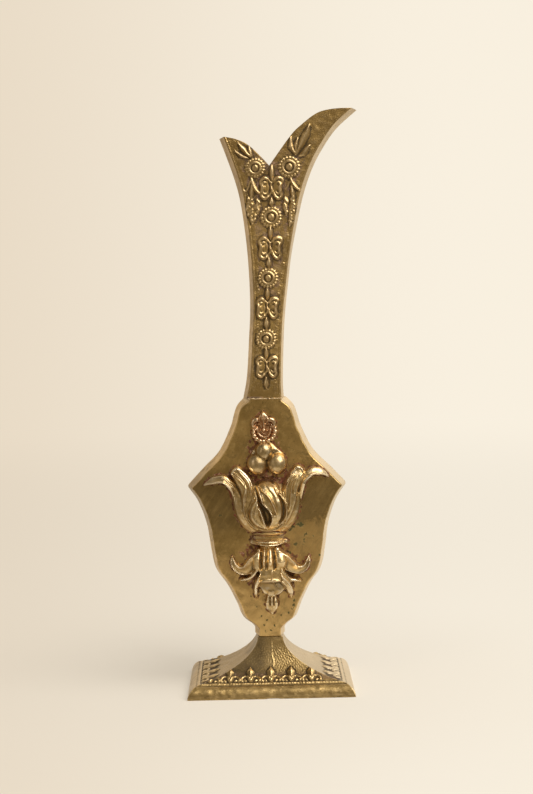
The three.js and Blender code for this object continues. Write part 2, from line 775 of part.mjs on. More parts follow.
for (const [side, group] of [['front', front], ['back', back]]) {
  add(group, `body_${side}`, body, plateBrass);
  for (const [name, height, solid, material] of mounts) {
    const mesh = add(group, `${name}_${side}`, toGeometry(solid), material);
    mesh.rotation.x = Math.PI / 2;
    mesh.position.set(leanAt(height), -halfDepth - seatGap, height);
  }
  for (const [name, { height, grip }] of Object.entries(rivets)) {
    const mesh = add(group, `${name}_rivet_${side}`, toGeometry(rivet(grip)), hardwareBrass);
    mesh.rotation.x = Math.PI / 2;
    mesh.position.set(leanAt(height), -halfDepth, height);
  }
}

const part = new THREE.Group();
vase.position.x = (footWidth / 2 - rightHornReach) / 2;
part.add(vase);

export default part;
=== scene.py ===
import math
import bpy
import bmesh
import numpy as np
from mathutils import Matrix, Vector


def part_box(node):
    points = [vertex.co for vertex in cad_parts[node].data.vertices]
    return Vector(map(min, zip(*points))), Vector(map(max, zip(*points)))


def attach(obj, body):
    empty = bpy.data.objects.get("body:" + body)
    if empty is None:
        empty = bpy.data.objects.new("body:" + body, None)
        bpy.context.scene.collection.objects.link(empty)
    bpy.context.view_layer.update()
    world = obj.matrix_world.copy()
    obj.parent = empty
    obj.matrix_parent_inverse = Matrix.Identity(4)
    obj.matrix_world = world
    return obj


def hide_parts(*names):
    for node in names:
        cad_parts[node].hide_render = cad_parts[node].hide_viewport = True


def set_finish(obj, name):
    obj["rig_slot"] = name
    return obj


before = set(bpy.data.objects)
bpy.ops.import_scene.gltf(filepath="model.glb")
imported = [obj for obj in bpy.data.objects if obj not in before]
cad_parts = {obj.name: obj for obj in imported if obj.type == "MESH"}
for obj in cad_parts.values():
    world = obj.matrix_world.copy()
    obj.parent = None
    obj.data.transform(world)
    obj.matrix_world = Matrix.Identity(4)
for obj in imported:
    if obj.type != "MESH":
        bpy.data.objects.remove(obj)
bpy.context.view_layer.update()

# All sizes are in millimetres, in the vase's own frame: its axis at x = 0, the front towards -Y.
MM = 0.001
FOOT_LOW, FOOT_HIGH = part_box("foot")
AXIS_X = (FOOT_LOW[0] + FOOT_HIGH[0]) / 2 / MM
HALF_DEPTH = 11.0

# The foot, its rim with the upright part below the bevel, its skirt and its flat top
FOOT_HALF_X, FOOT_HALF_Y = 43.0, 30.7
FOOT_HEIGHT = 27.5
RIM_HEIGHT, RIM_INSET, RIM_FOOT = 6.4, 4.9, 0.8
SLOPE_RISE = 6.4
TOP_HALF_X, TOP_HALF_Y = 6.6, 10.8

# The body from its stem to the neck's joint, and the neck from there to its horns; a splay is
# how far an edge of the face lies inside the seam
STEM_FOOT, STEM_TOP, STEM_HALF = 27.8, 31.4, 7.8
TIP_HEIGHT, TIP_HALF = 106.4, 41.8
JOINT = 152.0
BODY_SPLAY, NECK_SPLAY = 2.4, 2.1
NECK_FOOT = 152.3
RIGHT_HORN, LEFT_HORN = (50.3, 299.5), (-20.8, 286.1)
NOTCH = (4.5, 271.2)

# The body's side below and above its tip: shares of the tip's half width and of the height
LOWER_SIDE = [(.225, .018), (.335, .07), (.415, .178), (.525, .3), (.66, .414), (.718, .56),
              (.763, .727), (.865, .888), (1, 1)]
UPPER_SIDE = [(1, 0), (.795, .199), (.585, .399), (.44, .67), (.395, .81), (.352, .915), (.268, 1)]
# The neck's sides: how far out in millimetres, and the share of the height up to the horn
NECK_RIGHT = [(9.8, 0), (9.5, .06), (10.3, .2), (11.4, .3), (13.4, .41), (15.4, .507), (18.9, .622),
              (22.5, .72), (27, .802), (31.9, .864), (39.5, .936), (50.3, 1)]
NECK_LEFT = [(11.3, 0), (9.2, .085), (7.7, .232), (6.8, .345), (7, .472), (8.1, .604), (10.5, .75),
             (13.4, .842), (17.5, .933), (20.8, 1)]
# The mouth's edges: shares of the way across and up from the notch to a horn
MOUTH_LEFT = [(0, 0), (.17, .32), (.42, .72), (.66, .92), (.88, 1)]
MOUTH_RIGHT = [(0, 0), (.24, .52), (.36, .71), (.54, .92), (.71, .99), (.86, 1)]


# Curves and fields

def evenly(line, count, closed=False):
    """Evenly spaced points along a line; the end isn't repeated where the line is closed"""
    run = np.concatenate([[0], np.cumsum(np.linalg.norm(np.diff(line, axis=0), axis=1))])
    at = np.linspace(0, run[-1], count, endpoint=not closed)
    return np.stack([np.interp(at, run, values) for values in line.T], 1)


def spline(points, count):
    """Evenly spaced points on a smooth curve through the given ones"""
    p = np.asarray(points, float)
    q = np.vstack([p[0], p, p[-1]])
    t = np.linspace(0, len(p) - 1, 24 * len(p))
    i = np.minimum(t.astype(int), len(p) - 2)
    f = (t - i)[:, None]
    a, b, c, d = q[i], q[i + 1], q[i + 2], q[i + 3]
    fine = 0.5 * (2 * b + (c - a) * f + (2 * a - 5 * b + 4 * c - d) * f ** 2
                  + (3 * b - 3 * c + d - a) * f ** 3)
    return evenly(fine, count)


def offset_line(line, distance):
    """The line moved sideways: to its left where distance is above 0"""
    ahead = np.diff(line, axis=0)
    ahead /= np.linalg.norm(ahead, axis=1)[:, None]
    normal = np.stack([-ahead[:, 1], ahead[:, 0]], 1)
    before, after = np.vstack([normal[:1], normal]), np.vstack([normal, normal[-1:]])
    bisector = before + after
    scale = 2 / (bisector ** 2).sum(1)
    return line + distance * bisector * scale[:, None]


def x_at(line, heights):
    """The x of an upward line at some heights"""
    order = np.argsort(line[:, 1], kind="stable")
    return np.interp(heights, line[order, 1], line[order, 0])


def spectrum(field, step, gain):
    fy = np.fft.fftfreq(field.shape[0], step)[:, None]
    fx = np.fft.rfftfreq(field.shape[1], step)[None]
    return np.fft.irfft2(np.fft.rfft2(field) * gain(np.hypot(fx, fy)), s=field.shape)


def blur(field, step, sigma):
    return spectrum(field, step, lambda f: np.exp(-2 * (math.pi * sigma * f) ** 2))


def bell(value, width):
    """1 where the value is 0, falling to 0 a few widths away"""
    return np.exp(-(value / width) ** 2)


def noise(shape, step, wavelength, seed, spread):
    """Band-limited noise with a deviation of 1"""
    white = np.random.default_rng(seed).standard_normal(shape)
    out = spectrum(white, step, lambda f: bell(f * wavelength - 1, spread))
    return out / out.std()


def ramp(value, low, high):
    t = np.clip((value - low) / (high - low), 0, 1)
    return t * t * (3 - 2 * t)


def along(u, values):
    """A single value, or one from a list of values at even steps"""
    values = np.atleast_1d(values)
    return np.interp(u, np.linspace(0, 1, len(values)), values)


class Relief:
    """A height field over a flat or unrolled face: across it (x) and up it (z)"""

    def __init__(self, x_range, z_range, step, ground=0.0):
        self.step = step
        self.xs, self.zs = (np.arange(low, high + step, step) for low, high in (x_range, z_range))
        self.x, self.z = np.meshgrid(self.xs, self.zs)
        self.h = np.full(self.x.shape, float(ground))
        self.stain, self.dust, self.green = np.zeros((3, *self.x.shape))

    def noise(self, wavelength, seed, spread):
        return noise(self.h.shape, self.step, wavelength, seed, spread)

    def window(self, line, pad):
        low, high = line.min(0) - pad, line.max(0) + pad
        i = slice(*np.searchsorted(self.zs, [low[1], high[1]]))
        j = slice(*np.searchsorted(self.xs, [low[0], high[0]]))
        return i, j

    def near(self, line, area, blunt=1.0):
        """How far along, how far to the side and how far from a line each point of the area lies"""
        count = len(line)
        ahead_of = np.gradient(line, axis=0)
        length = np.linalg.norm(ahead_of, axis=1)
        ahead_of = ahead_of / length[:, None]
        x, z = self.x[area], self.z[area]
        best = np.full(x.shape, np.inf)
        k = np.zeros(x.shape, int)
        for n in range(count):
            d = (x - line[n, 0]) ** 2 + (z - line[n, 1]) ** 2
            closer = d < best
            best[closer] = d[closer]
            k[closer] = n
        dx, dz = x - line[k, 0], z - line[k, 1]
        ahead = dx * ahead_of[k, 0] + dz * ahead_of[k, 1]
        side = dx * ahead_of[k, 1] - dz * ahead_of[k, 0]
        place = k + ahead / length[k]
        beyond = np.where(place < 0, -ahead, np.where(place > count - 1, ahead, 0))
        return np.clip(place / (count - 1), 0, 1), side, np.hypot(side, blunt * np.maximum(beyond, 0))

    def leaf(self, spine, widths, levels, crown=0.0, lip=0.0, hollow=0.0, lean=0.0, peak=0.0,
             over=True, on=None, share=1.0, blunt=1.0, count=60):
        """A leaf along a spine, with its half widths and levels at even steps: crowned or hollowed
        across, leaning to a side, and over another surface where one is given"""
        line = spline(spine, count)
        area = self.window(line, max(widths) + 0.5)
        u, side, away = self.near(line, area, blunt)
        w = np.maximum(along(u, widths), 1e-3)
        q, s = away / w, side / w
        top = along(u, levels) + along(u, crown) * np.sqrt(np.clip(1 - q * q, 0, 1)) + along(u, lean) * s
        top += lip * bell(q - 0.84, 0.11) - hollow * bell(q, 0.6)
        top += peak * np.clip(1 - q, 0, 1)
        if on is not None:
            top += along(u, share) * on[area]
        inside = q < 1
        h = self.h[area]
        if not over:
            top = np.maximum(top, h)
        h[inside] = top[inside]

    def ridge(self, points, half_width, height, taper=True, count=40, smooth=True):
        """A round ridge, or with a height below 0 a groove, along a line"""
        line = spline(points, count) if smooth else np.asarray(points, float)
        area = self.window(line, np.max(half_width) + 0.5)
        u, _, away = self.near(line, area)
        fade = np.sqrt(np.clip(np.minimum(u, 1 - u) * 7 + 0.25, 0, 1)) if taper else 1
        q = away / (along(u, half_width) * fade)
        self.h[area] += along(u, height) * fade * np.clip(1 - q * q, 0, 1) ** 0.75

    def egg(self, x, z, half_width, below, above):
        """1 at a point, falling to 0 at an egg's outline round it"""
        q = ((self.x - x) / half_width) ** 2 + ((self.z - z) / np.where(self.z < z, below, above)) ** 2
        return np.clip(1 - q, 0, 1)

    def raise_to(self, surface, inside):
        """Lifts what lies lower to a surface, where inside is above 0"""
        self.h = np.where(inside > 0, np.maximum(self.h, surface), self.h)

    def dome(self, x, z, radius, height, stretch=1.0, base=0.0, power=0.5):
        inside = self.egg(x, z, radius, radius * stretch, radius * stretch)
        self.raise_to(base + height * inside ** power, inside)

    def ring(self, x, z, radius, half_width, height):
        q = (np.hypot(self.x - x, self.z - z) - radius) / half_width
        self.h += height * np.clip(1 - q * q, 0, 1) ** 0.7

    def soften(self, fine, cliff=0.42):
        """Rounds the relief a little, and its cliffs more"""
        steep = np.hypot(*np.gradient(blur(self.h, self.step, 0.2), self.step))
        share = blur(ramp(steep, 1.3, 2.8), self.step, 0.25)
        self.h = blur(self.h, self.step, fine) * (1 - share) + blur(self.h, self.step, cliff) * share

    def sample(self, field, x, z):
        """A field's values at any points, interpolated"""
        fx = np.clip((x - self.xs[0]) / self.step, 0, len(self.xs) - 1.001)
        fz = np.clip((z - self.zs[0]) / self.step, 0, len(self.zs) - 1.001)
        j, i = fx.astype(int), fz.astype(int)
        a, b = fx - j, fz - i
        return ((field[i, j] * (1 - a) + field[i, j + 1] * a) * (1 - b)
                + (field[i + 1, j] * (1 - a) + field[i + 1, j + 1] * a) * b)

    def fields(self, size, reach):
        """Where the relief stands out, where it lies deep (grime with a painted shade, and any painted hollow
        shade), and where it is stained or green, each 0 to 1
        """
        low = np.clip(self.h, -0.5, None)
        stand = low - blur(low, self.step, size)
        steep = np.hypot(*np.gradient(blur(low, self.step, 0.15), self.step))
        # Grime with a painted shade in the hollows, less on steep walls
        grime = np.clip(-stand / reach, 0, 1) * (1 - 0.85 * ramp(steep, 0.9, 1.9))
        return {"wear": np.clip(stand / reach, 0, 1), "grime": np.maximum(grime, self.dust),
                "stain": self.stain, "green": self.green}


# Meshes

HALF_TURN = Matrix.Rotation(math.pi, 4, "Z")
ACROSS_SEAM = Matrix.Scale(-1, 4, (0, 1, 0))
FIELDS = ("wear", "grime", "stain", "green", "pale")
MERGE = 0.004


def add_piece(name, mesh, slot, node):
    obj = bpy.data.objects.new(name, mesh)
    bpy.context.scene.collection.objects.link(obj)
    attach(obj, "root")
    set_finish(obj, slot)
    if node:
        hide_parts(node)
    return obj


def finish_mesh(name, verts, faces, fields, slot, node=None, merge=False):
    """A piece from points in millimetres, with its fields kept as point attributes"""
    mesh = bpy.data.meshes.new(name)
    points = np.asarray(verts, float) * MM
    points[:, 0] += AXIS_X * MM
    mesh.from_pydata(points, [], faces)
    for key in FIELDS:
        values = np.clip(fields.get(key, np.zeros(len(points))), 0, 1)
        mesh.attributes.new(key, "FLOAT", "POINT").data.foreach_set("value", values.astype(np.float32))
    bm = bmesh.new()
    bm.from_mesh(mesh)
    if merge:
        bmesh.ops.remove_doubles(bm, verts=bm.verts, dist=MERGE * MM)
        bmesh.ops.dissolve_degenerate(bm, edges=bm.edges, dist=1e-7)
    bmesh.ops.recalc_face_normals(bm, faces=bm.faces)
    bm.to_mesh(mesh)
    bm.free()
    mesh.shade_smooth()
    mesh.materials.append(materials[slot])
    return add_piece(name, mesh, slot, node)


def turned_copy(obj, node, matrix):
    mesh = obj.data.copy()
    axis = Matrix.Translation((AXIS_X * MM, 0, 0))
    mesh.transform(axis @ matrix @ axis.inverted())
    if matrix.determinant() < 0:
        mesh.flip_normals()
    add_piece(f"{node}_casting", mesh, obj["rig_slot"], node)


def zipper(a, b):
    """Triangles between two rows of points that need not have as many"""
    faces, i, j = [], 0, 0
    while i < len(a) - 1 or j < len(b) - 1:
        if j == len(b) - 1 or (i < len(a) - 1 and (i + 1) * (len(b) - 1) <= (j + 1) * (len(a) - 1)):
            faces.append((a[i], a[i + 1], b[j]))
            i += 1
        else:
            faces.append((a[i], b[j + 1], b[j]))
            j += 1
    return faces


def quads(index):
    """Quads of a grid of point numbers"""
    a, b, c, d = index[:-1, :-1], index[:-1, 1:], index[1:, 1:], index[1:, :-1]
    return np.stack([a, b, c, d], -1).reshape(-1, 4).tolist()


class Sheets:
    """Grids of points with their fields, joined into one mesh"""

    def __init__(self):
        self.verts, self.faces, self.count = [], [], 0
        self.fields = {key: [] for key in FIELDS}

    def add(self, points, inward=False, **fields):
        """Adds a grid of points with its quads and returns the points' numbers"""
        index = self.count + np.arange(points[..., 0].size).reshape(points.shape[:2])
        self.count += index.size
        self.verts.append(points.reshape(-1, 3))
        for key, values in self.fields.items():
            values.append(np.broadcast_to(fields.get(key, 0.0), index.shape).ravel())
        self.faces += [q[::-1] for q in quads(index)] if inward else quads(index)
        return index

    def join(self, a, b):
        self.faces += zipper(a.tolist(), b.tolist())

    def finish(self, node, slot):
        fields = {key: np.concatenate(values) for key, values in self.fields.items()}
        return finish_mesh(f"{node}_casting", np.vstack(self.verts), self.faces, fields, slot, node, merge=True)


# A mount's relief ends a little below the plate, and its flat back lies deeper inside it
MOUNT_LOW, MOUNT_BACK = 0.25, 0.5


def relief_mesh(node, slot, relief, size, reach):
    """A casting with its relief over the plate and its flat back just inside it"""
    h = np.clip(relief.h, -MOUNT_LOW, None)
    kept = h > -0.8 * MOUNT_LOW
    near = kept.copy()
    for axis in (0, 1):
        for shift in (-1, 1):
            near |= np.roll(kept, shift, axis)
    near |= np.roll(near, 1, 0) | np.roll(near, -1, 0)
    quad = near[:-1, :-1] & near[1:, :-1] & near[:-1, 1:] & near[1:, 1:]
    i, j = np.nonzero(quad)
    used = np.zeros(h.shape, bool)
    for a, b in ((i, j), (i, j + 1), (i + 1, j), (i + 1, j + 1)):
        used[a, b] = True
    number = np.full(h.shape, -1)
    number[used] = np.arange(used.sum())
    front = np.stack([relief.x[used], -HALF_DEPTH - h[used], relief.z[used]], 1)
    back = front.copy()
    back[:, 1] = MOUNT_BACK - HALF_DEPTH
    top = np.stack([number[i, j], number[i, j + 1], number[i + 1, j + 1], number[i + 1, j]], 1)
    # The rim is made of the edges that only one quad has
    rim = {}
    for k in range(4):
        for a, b in zip(top[:, k].tolist(), top[:, (k + 1) % 4].tolist()):
            if (b, a) in rim:
                del rim[(b, a)]
            else:
                rim[(a, b)] = True
    count = len(front)
    walls = [(b, a, a + count, b + count) for a, b in rim]
    faces = top.tolist() + (top[:, ::-1] + count).tolist() + walls
    fields = {key: np.tile(field[used], 2) for key, field in relief.fields(size, reach).items()}
    return finish_mesh(f"{node}_casting", np.vstack([front, back]), faces, fields, slot, node)


# Across a half casting's strip: the seam's groove and the band, then the face's rounded corner
GROOVE_DEPTH, BAND_COLUMNS = 0.35, 10
CORNER_RADIUS, CORNER_COLUMNS = 0.8, 7
# How many rows of the outside one row of the inside spans
INSIDE_STEP = 8


def half_shell(node, slot, sides, relief, plate, wall, columns, pale, mouth_row=None):
    """A half casting between the seam (y = 0) and its face, as two strips that meet at a centre
    line below mouth_row and end at the mouth above it. A side is its heights with the x of the
    seam, the face's edge and the strip's end at each, and pale is how light its
    band is, a painted sheen on the band that faces the light"""
    sheets = Sheets()
    relief_fields = relief.fields(0.9, 0.3)
    for sign, shorter, side, count, light in zip((1, -1), (np.minimum, np.maximum), sides, columns, pale):
        z, seam_x, face_x, end_x = side
        rows = len(z)
        room = np.abs(end_x - face_x)
        face_x = shorter(face_x, end_x)
        radius = np.minimum(CORNER_RADIUS, 0.45 * room)
        band = np.stack([seam_x - face_x, np.full(rows, HALF_DEPTH)], 1)
        band /= np.linalg.norm(band, axis=1)[:, None]
        low_x, low_y = face_x + band[:, 0] * radius, -HALF_DEPTH + band[:, 1] * radius
        # Columns of x, y and edge wear: the seam's groove, the band, the corner and the face
        strip = [(seam_x + sign * 0.3, -0.01, 0.0), (seam_x + sign * 0.12, -0.08, 0.3),
                 (seam_x, -GROOVE_DEPTH, 0.3)]
        for f in np.linspace(0.12, 0.92, BAND_COLUMNS - 3):
            strip.append((seam_x + (low_x - seam_x) * f, -GROOVE_DEPTH + (low_y + GROOVE_DEPTH) * f, 0.0))
        high_x = face_x + sign * radius
        for f in np.linspace(0, 1, CORNER_COLUMNS):
            strip.append(((1 - f) ** 2 * low_x + 2 * f * (1 - f) * face_x + f * f * high_x,
                          (1 - f) ** 2 * low_y - (1 - (1 - f) ** 2) * HALF_DEPTH,
                          0.45 * math.sin(math.pi * min(f + 0.15, 1))))
        lip = np.zeros(rows)
        if mouth_row:
            lip[mouth_row + 1:] = np.minimum(0.35, 0.3 * room)[mouth_row + 1:]
        face_end = end_x - sign * lip
        for f in np.linspace(0, 1, count)[1:]:
            strip.append((high_x + (face_end - high_x) * f, -HALF_DEPTH, 0.0))
        strip.append((end_x, -HALF_DEPTH + lip, 0.0))
        x, y, edge = (np.stack([np.broadcast_to(values, rows) for values in part], 1) for part in zip(*strip))
        height = np.repeat(z[:, None], x.shape[1], 1)
        column = np.arange(x.shape[1])
        fade = np.clip((column - BAND_COLUMNS) / (CORNER_COLUMNS - 1), 0, 1)
        shown = np.where(column >= BAND_COLUMNS, 1.0, 0.0)
        y -= relief.sample(relief.h, x, height) * fade
        fields = {key: relief.sample(field, x, height) * shown for key, field in relief_fields.items()}
        fields["wear"] = np.maximum(fields["wear"], edge)
        # The band gets a painted sheen where it faces the light, and the corners of the body's face are knocked
        # bright just below the neck
        knocked = bell(z - JOINT + 0.9, 0.8)[:, None]
        fields["pale"] = np.minimum(light * (1 - shown) + 0.7 * knocked * (1 - fade), 1)
        outside = sheets.add(np.stack([x, y, height], -1), **fields)
        # The inside: a coarser sheet, parallel to the outside, darkened with grime and a painted shade
        marks = sorted({*range(0, rows, INSIDE_STEP), rows - 1, mouth_row or 0})
        end_in = end_x[marks]
        seam_in, face_in = (shorter(line[marks] + sign * wall, end_in) for line in (seam_x, face_x))
        deep = HALF_DEPTH - plate
        strip = [(seam_in, 0.0)]
        strip += [(seam_in + (face_in - seam_in) * f, -deep * f) for f in (0.5, 1)]
        strip += [(face_in + (end_in - face_in) * f, -deep) for f in (0.25, 0.5, 0.75, 1)]
        points = np.stack([np.stack([a, np.full(len(marks), b), z[marks]], -1) for a, b in strip], 1)
        inside = sheets.add(points, inward=True, grime=0.6)
        sheets.join(outside[:, 0], inside[:, 0])
        sheets.join(inside[0], outside[0])
        sheets.join(outside[-1], inside[-1])
        if mouth_row:
            sheets.join(inside[marks.index(mouth_row):, -1], outside[mouth_row:, -1])
    return sheets.finish(node, slot)


# Materials: brass that darkens in its hollows with grime and a painted shade, and is rubbed bright where it
# stands out

class Tree:
    """Short ways to add nodes to a material's or the world's tree"""

    def __init__(self, owner):
        owner.use_nodes = True
        self.nodes, self.links = owner.node_tree.nodes, owner.node_tree.links

    def put(self, socket, value):
        """Links a socket to another, or sets it to a number, vector or colour"""
        if isinstance(value, bpy.types.NodeSocket):
            self.links.new(value, socket)
        elif isinstance(value, tuple) and len(socket.default_value) == 4:
            socket.default_value = (*value, 1)
        else:
            socket.default_value = value

    def add(self, kind, inputs=(), output=0, **settings):
        """Adds a node, fills its inputs and returns one of its outputs"""
        made = self.nodes.new("ShaderNode" + kind)
        for key, value in settings.items():
            setattr(made, key, value)
        for key, value in dict(inputs).items():
            self.put(made.inputs[key], value)
        return made.outputs[output]

    def maths(self, operation, *values):
        return self.add("Math", enumerate(values), operation=operation)

    def mixed(self, share, a, b):
        return self.add("Mix", {0: share, 6: a, 7: b}, 2, data_type="RGBA")

    def scaled(self, value, low, high, to_low=0.0, to_high=1.0):
        return self.add("MapRange", {0: value, 1: low, 2: high, 3: to_low, 4: to_high},
                        interpolation_type="SMOOTHSTEP")

    def parts(self, vector):
        """The x, y and z of a vector"""
        made = self.nodes.new("ShaderNodeSeparateXYZ")
        self.put(made.inputs[0], vector)
        return list(made.outputs)


def dimmed(colour, share):
    return tuple(share * c for c in colour)


def brass_material(name, tone, dark, bright, rough, stain=(0.24, 0.05, 0.03), brushed=0.0, mottle=0.5,
                   floor_reflection=None, cast=0.3, dirt_and_shade_share=0.88, coat=0.12, flecks=0.25, grip=1.0, dull=None):
    """Brass of three tones, with the point attributes wear, grime, stain, green and pale laid over; the grime
    carries a painted shade in the hollows, and the pale one pale metal and a painted sheen on the lit side
    """
    material = bpy.data.materials.new(name)
    tree = Tree(material)
    maths, mixed, scaled = tree.maths, tree.mixed, tree.scaled
    shader = tree.nodes["Principled BSDF"]
    place = tree.add("TexCoord", output="Object")
    across, _, height = tree.parts(place)

    def attribute(key):
        return tree.add("Attribute", output="Fac", attribute_name=key)

    def cloud(scale, detail, roughness, source=place, distortion=0.0):
        return tree.add("TexNoise", {"Vector": source, "Scale": scale, "Detail": detail,
                                     "Roughness": roughness, "Distortion": distortion}, "Fac")

    def lay(share, strength, over):
        """Lays a colour over what there is, where the share is high"""
        nonlocal colour
        colour = mixed(maths("MULTIPLY", share, strength), colour, over)

    wear, grime, stained, pale = (attribute(key) for key in ("wear", "grime", "stain", "pale"))
    broad, fine = cloud(38, 4, 0.6), cloud(420, 4, 0.65)
    blotch = cloud(130, 5, 0.7, distortion=0.6)
    colour = mixed(scaled(broad, 0.35, 0.68), tone, dark)
    lay(scaled(blotch, 0.5, 0.66), mottle, dimmed(dark, 0.55))
    lay(scaled(fine, 0.52, 0.70), 0.5, bright)
    lay(scaled(fine, 0.47, 0.33), 0.35, dark)
    # Small dark pits
    lay(scaled(cloud(760, 2, 0.5), 0.63, 0.72), flecks, dimmed(dark, 0.4))
    if dull:
        # A duller belt between two heights, in metres
        rise, fall, share, shade = dull
        lay(maths("MULTIPLY", scaled(height, *rise), scaled(height, *fall)), share, shade)
    if floor_reflection:
        # A painted reflection of the floor: golden below a ragged edge that rises to the right
        level = maths("MULTIPLY_ADD", across, -floor_reflection["rise"], height)
        for texture, reach in ((broad, 0.03), (blotch, 0.022), (cloud(420, 5, 0.75), 0.016)):
            level = maths("MULTIPLY_ADD", texture, reach, level)
        reflection_tone = mixed(scaled(blotch, 0.42, 0.62), floor_reflection["tone"], dimmed(floor_reflection["tone"], 0.7))
        lay(scaled(level, floor_reflection["full"] * MM, floor_reflection["none"] * MM, 1.0, 0.0), 0.85, reflection_tone)
    if brushed:
        slanted = tree.add("Mapping", {"Vector": place, "Rotation": (0, 0.6, 0),
                                       "Scale": (1 / 9, 1 / 9, 1 / 0.9)}, vector_type="TEXTURE")
        strokes = cloud(60, 5, 0.7, slanted)
        lay(scaled(strokes, 0.45, 0.7), brushed, bright)
        lay(scaled(strokes, 0.5, 0.3), 0.7 * brushed, dimmed(dark, 0.5))
    lay(wear, 0.85, bright)
    # Pale metal where the corners are knocked and on the solder, and a painted sheen on the bands that face the
    # light
    lay(pale, 0.9, (0.90, 0.76, 0.55))
    # Grime with a painted shade in the hollows: darker and less metallic
    dirt_and_shade = scaled(maths("ADD", maths("MULTIPLY", grime, grip), maths("MULTIPLY", fine, 0.3)), 0.25, 0.95)
    lay(dirt_and_shade, dirt_and_shade_share, (0.035, 0.022, 0.010))
    red = scaled(maths("ADD", stained, maths("MULTIPLY", blotch, 0.5)), 0.55, 0.95)
    residue = mixed(scaled(fine, 0.40, 0.62), dimmed(stain, 0.3), dimmed(stain, 0.9))
    lay(red, 0.85, mixed(scaled(cloud(620, 4, 0.7), 0.55, 0.64), residue, (0.46, 0.28, 0.21)))
    green = scaled(attribute("green"), 0.35, 0.75)
    lay(green, 0.9, (0.030, 0.044, 0.012))
    soiled_and_shaded = maths("MAXIMUM", maths("MAXIMUM", dirt_and_shade, green), red)
    roughness = maths("ADD", scaled(blotch, 0.25, 0.75, rough - 0.08, rough + 0.12),
                      maths("MULTIPLY", soiled_and_shaded, 0.3))
    roughness = maths("SUBTRACT", roughness, maths("MULTIPLY", wear, 0.10))
    roughness = maths("MULTIPLY_ADD", pale, 0.16, roughness)
    surface = maths("ADD", maths("MULTIPLY", fine, 0.6), maths("MULTIPLY", cloud(1500, 2, 0.5), 0.4))
    if brushed:
        surface = maths("ADD", surface, maths("MULTIPLY", strokes, 0.8))
    for key, value in (("Base Color", colour), ("Roughness", roughness),
                       ("Metallic", maths("SUBTRACT", 1.0, maths("MULTIPLY", soiled_and_shaded, 0.85 * dirt_and_shade_share))),
                       ("Normal", tree.add("Bump", {"Height": surface, "Strength": cast, "Distance": 0.0002})),
                       ("Coat Weight", coat), ("Coat Roughness", 0.22), ("Specular IOR Level", 0.15)):
        tree.put(shader.inputs[key], value)
    return material


# Each has its main, dark and bright tone and its roughness
materials = {name: brass_material(name, *tones, **settings) for name, tones, settings in (
    ("plate_brass", ((0.705, 0.48, 0.188), (0.465, 0.312, 0.114), (0.80, 0.57, 0.245), 0.40),
     dict(brushed=0.22, mottle=0.7, cast=0.25, flecks=0.5,
          dull=((0.078, 0.090), (0.122, 0.104), 0.7, (0.25, 0.17, 0.07)),
          # Golden below about 112 to 117 mm: a painted reflection of the floor
          floor_reflection={"full": 112, "none": 117, "rise": 0.35, "tone": (0.72, 0.485, 0.195)})),
    ("neck_brass", ((0.63, 0.425, 0.158), (0.40, 0.262, 0.094), (0.84, 0.64, 0.37), 0.43),
     dict(stain=(0.36, 0.235, 0.17), mottle=0.6, cast=0.45,
          dull=((0.240, 0.268), (0.42, 0.40), 0.55, (0.36, 0.235, 0.085)))),
    ("mount_brass", ((0.76, 0.545, 0.25), (0.47, 0.322, 0.136), (1.0, 0.88, 0.67), 0.35),
     # grip strengthens the grime and painted shade in the mounts' hollows
     dict(cast=0.25, dirt_and_shade_share=0.92, coat=0.1, grip=1.5)),
    ("copper_brass", ((0.86, 0.545, 0.295), (0.54, 0.30, 0.142), (1.0, 0.84, 0.62), 0.33),
     dict(stain=(0.3, 0.08, 0.06), mottle=0.35, cast=0.25, dirt_and_shade_share=0.4, coat=0.1)),
    ("foot_brass", ((0.44, 0.305, 0.125), (0.27, 0.182, 0.07), (0.74, 0.54, 0.26), 0.38),
     dict(stain=(0.33, 0.20, 0.13), mottle=0.6, cast=0.45, flecks=0.5)),
    ("hardware_brass", ((0.46, 0.33, 0.14), (0.28, 0.19, 0.08), (0.62, 0.46, 0.2), 0.35),
     dict(mottle=0.4, cast=0.2)),
)}


# Outlines of the body and the neck, as upward lines

def body_side():
    lower = [(w * TIP_HALF, STEM_TOP + h * (TIP_HEIGHT - STEM_TOP)) for w, h in LOWER_SIDE]
    upper = [(w * TIP_HALF, TIP_HEIGHT + h * (JOINT - TIP_HEIGHT)) for w, h in UPPER_SIDE]
    stem = [(STEM_HALF, STEM_FOOT), (STEM_HALF, STEM_TOP - 0.4)]
    return np.vstack([stem, spline(lower, 60)[:-1], spline(upper, 44)])


def neck_side(points, horn, run_on):
    line = spline([(x, NECK_FOOT + h * (horn[1] - NECK_FOOT)) for x, h in points], 110)
    return np.vstack([line, [line[-1] + run_on]])


def mouth_side(points, horn, run_on):
    """The mouth's edge from the notch to a horn's tip"""
    line = spline([(NOTCH[0] + x * (horn[0] - NOTCH[0]), NOTCH[1] + h * (horn[1] - NOTCH[1]))
                   for x, h in points], 80)
    return np.vstack([line, [(horn[0] + run_on, horn[1] + 0.02)]])


BODY_RIGHT = body_side()
BODY_LEFT = BODY_RIGHT * (-1, 1)
NECK_RIGHT_LINE = neck_side(NECK_RIGHT, RIGHT_HORN, (12, 10))
NECK_LEFT_LINE = neck_side(NECK_LEFT, LEFT_HORN, (6, 17)) * (-1, 1)
MOUTH_LEFT_LINE = mouth_side(MOUTH_LEFT, LEFT_HORN, -1)
MOUTH_RIGHT_LINE = mouth_side(MOUTH_RIGHT, RIGHT_HORN, 1)


# Mounts: each is a relief over the plate in front of the body

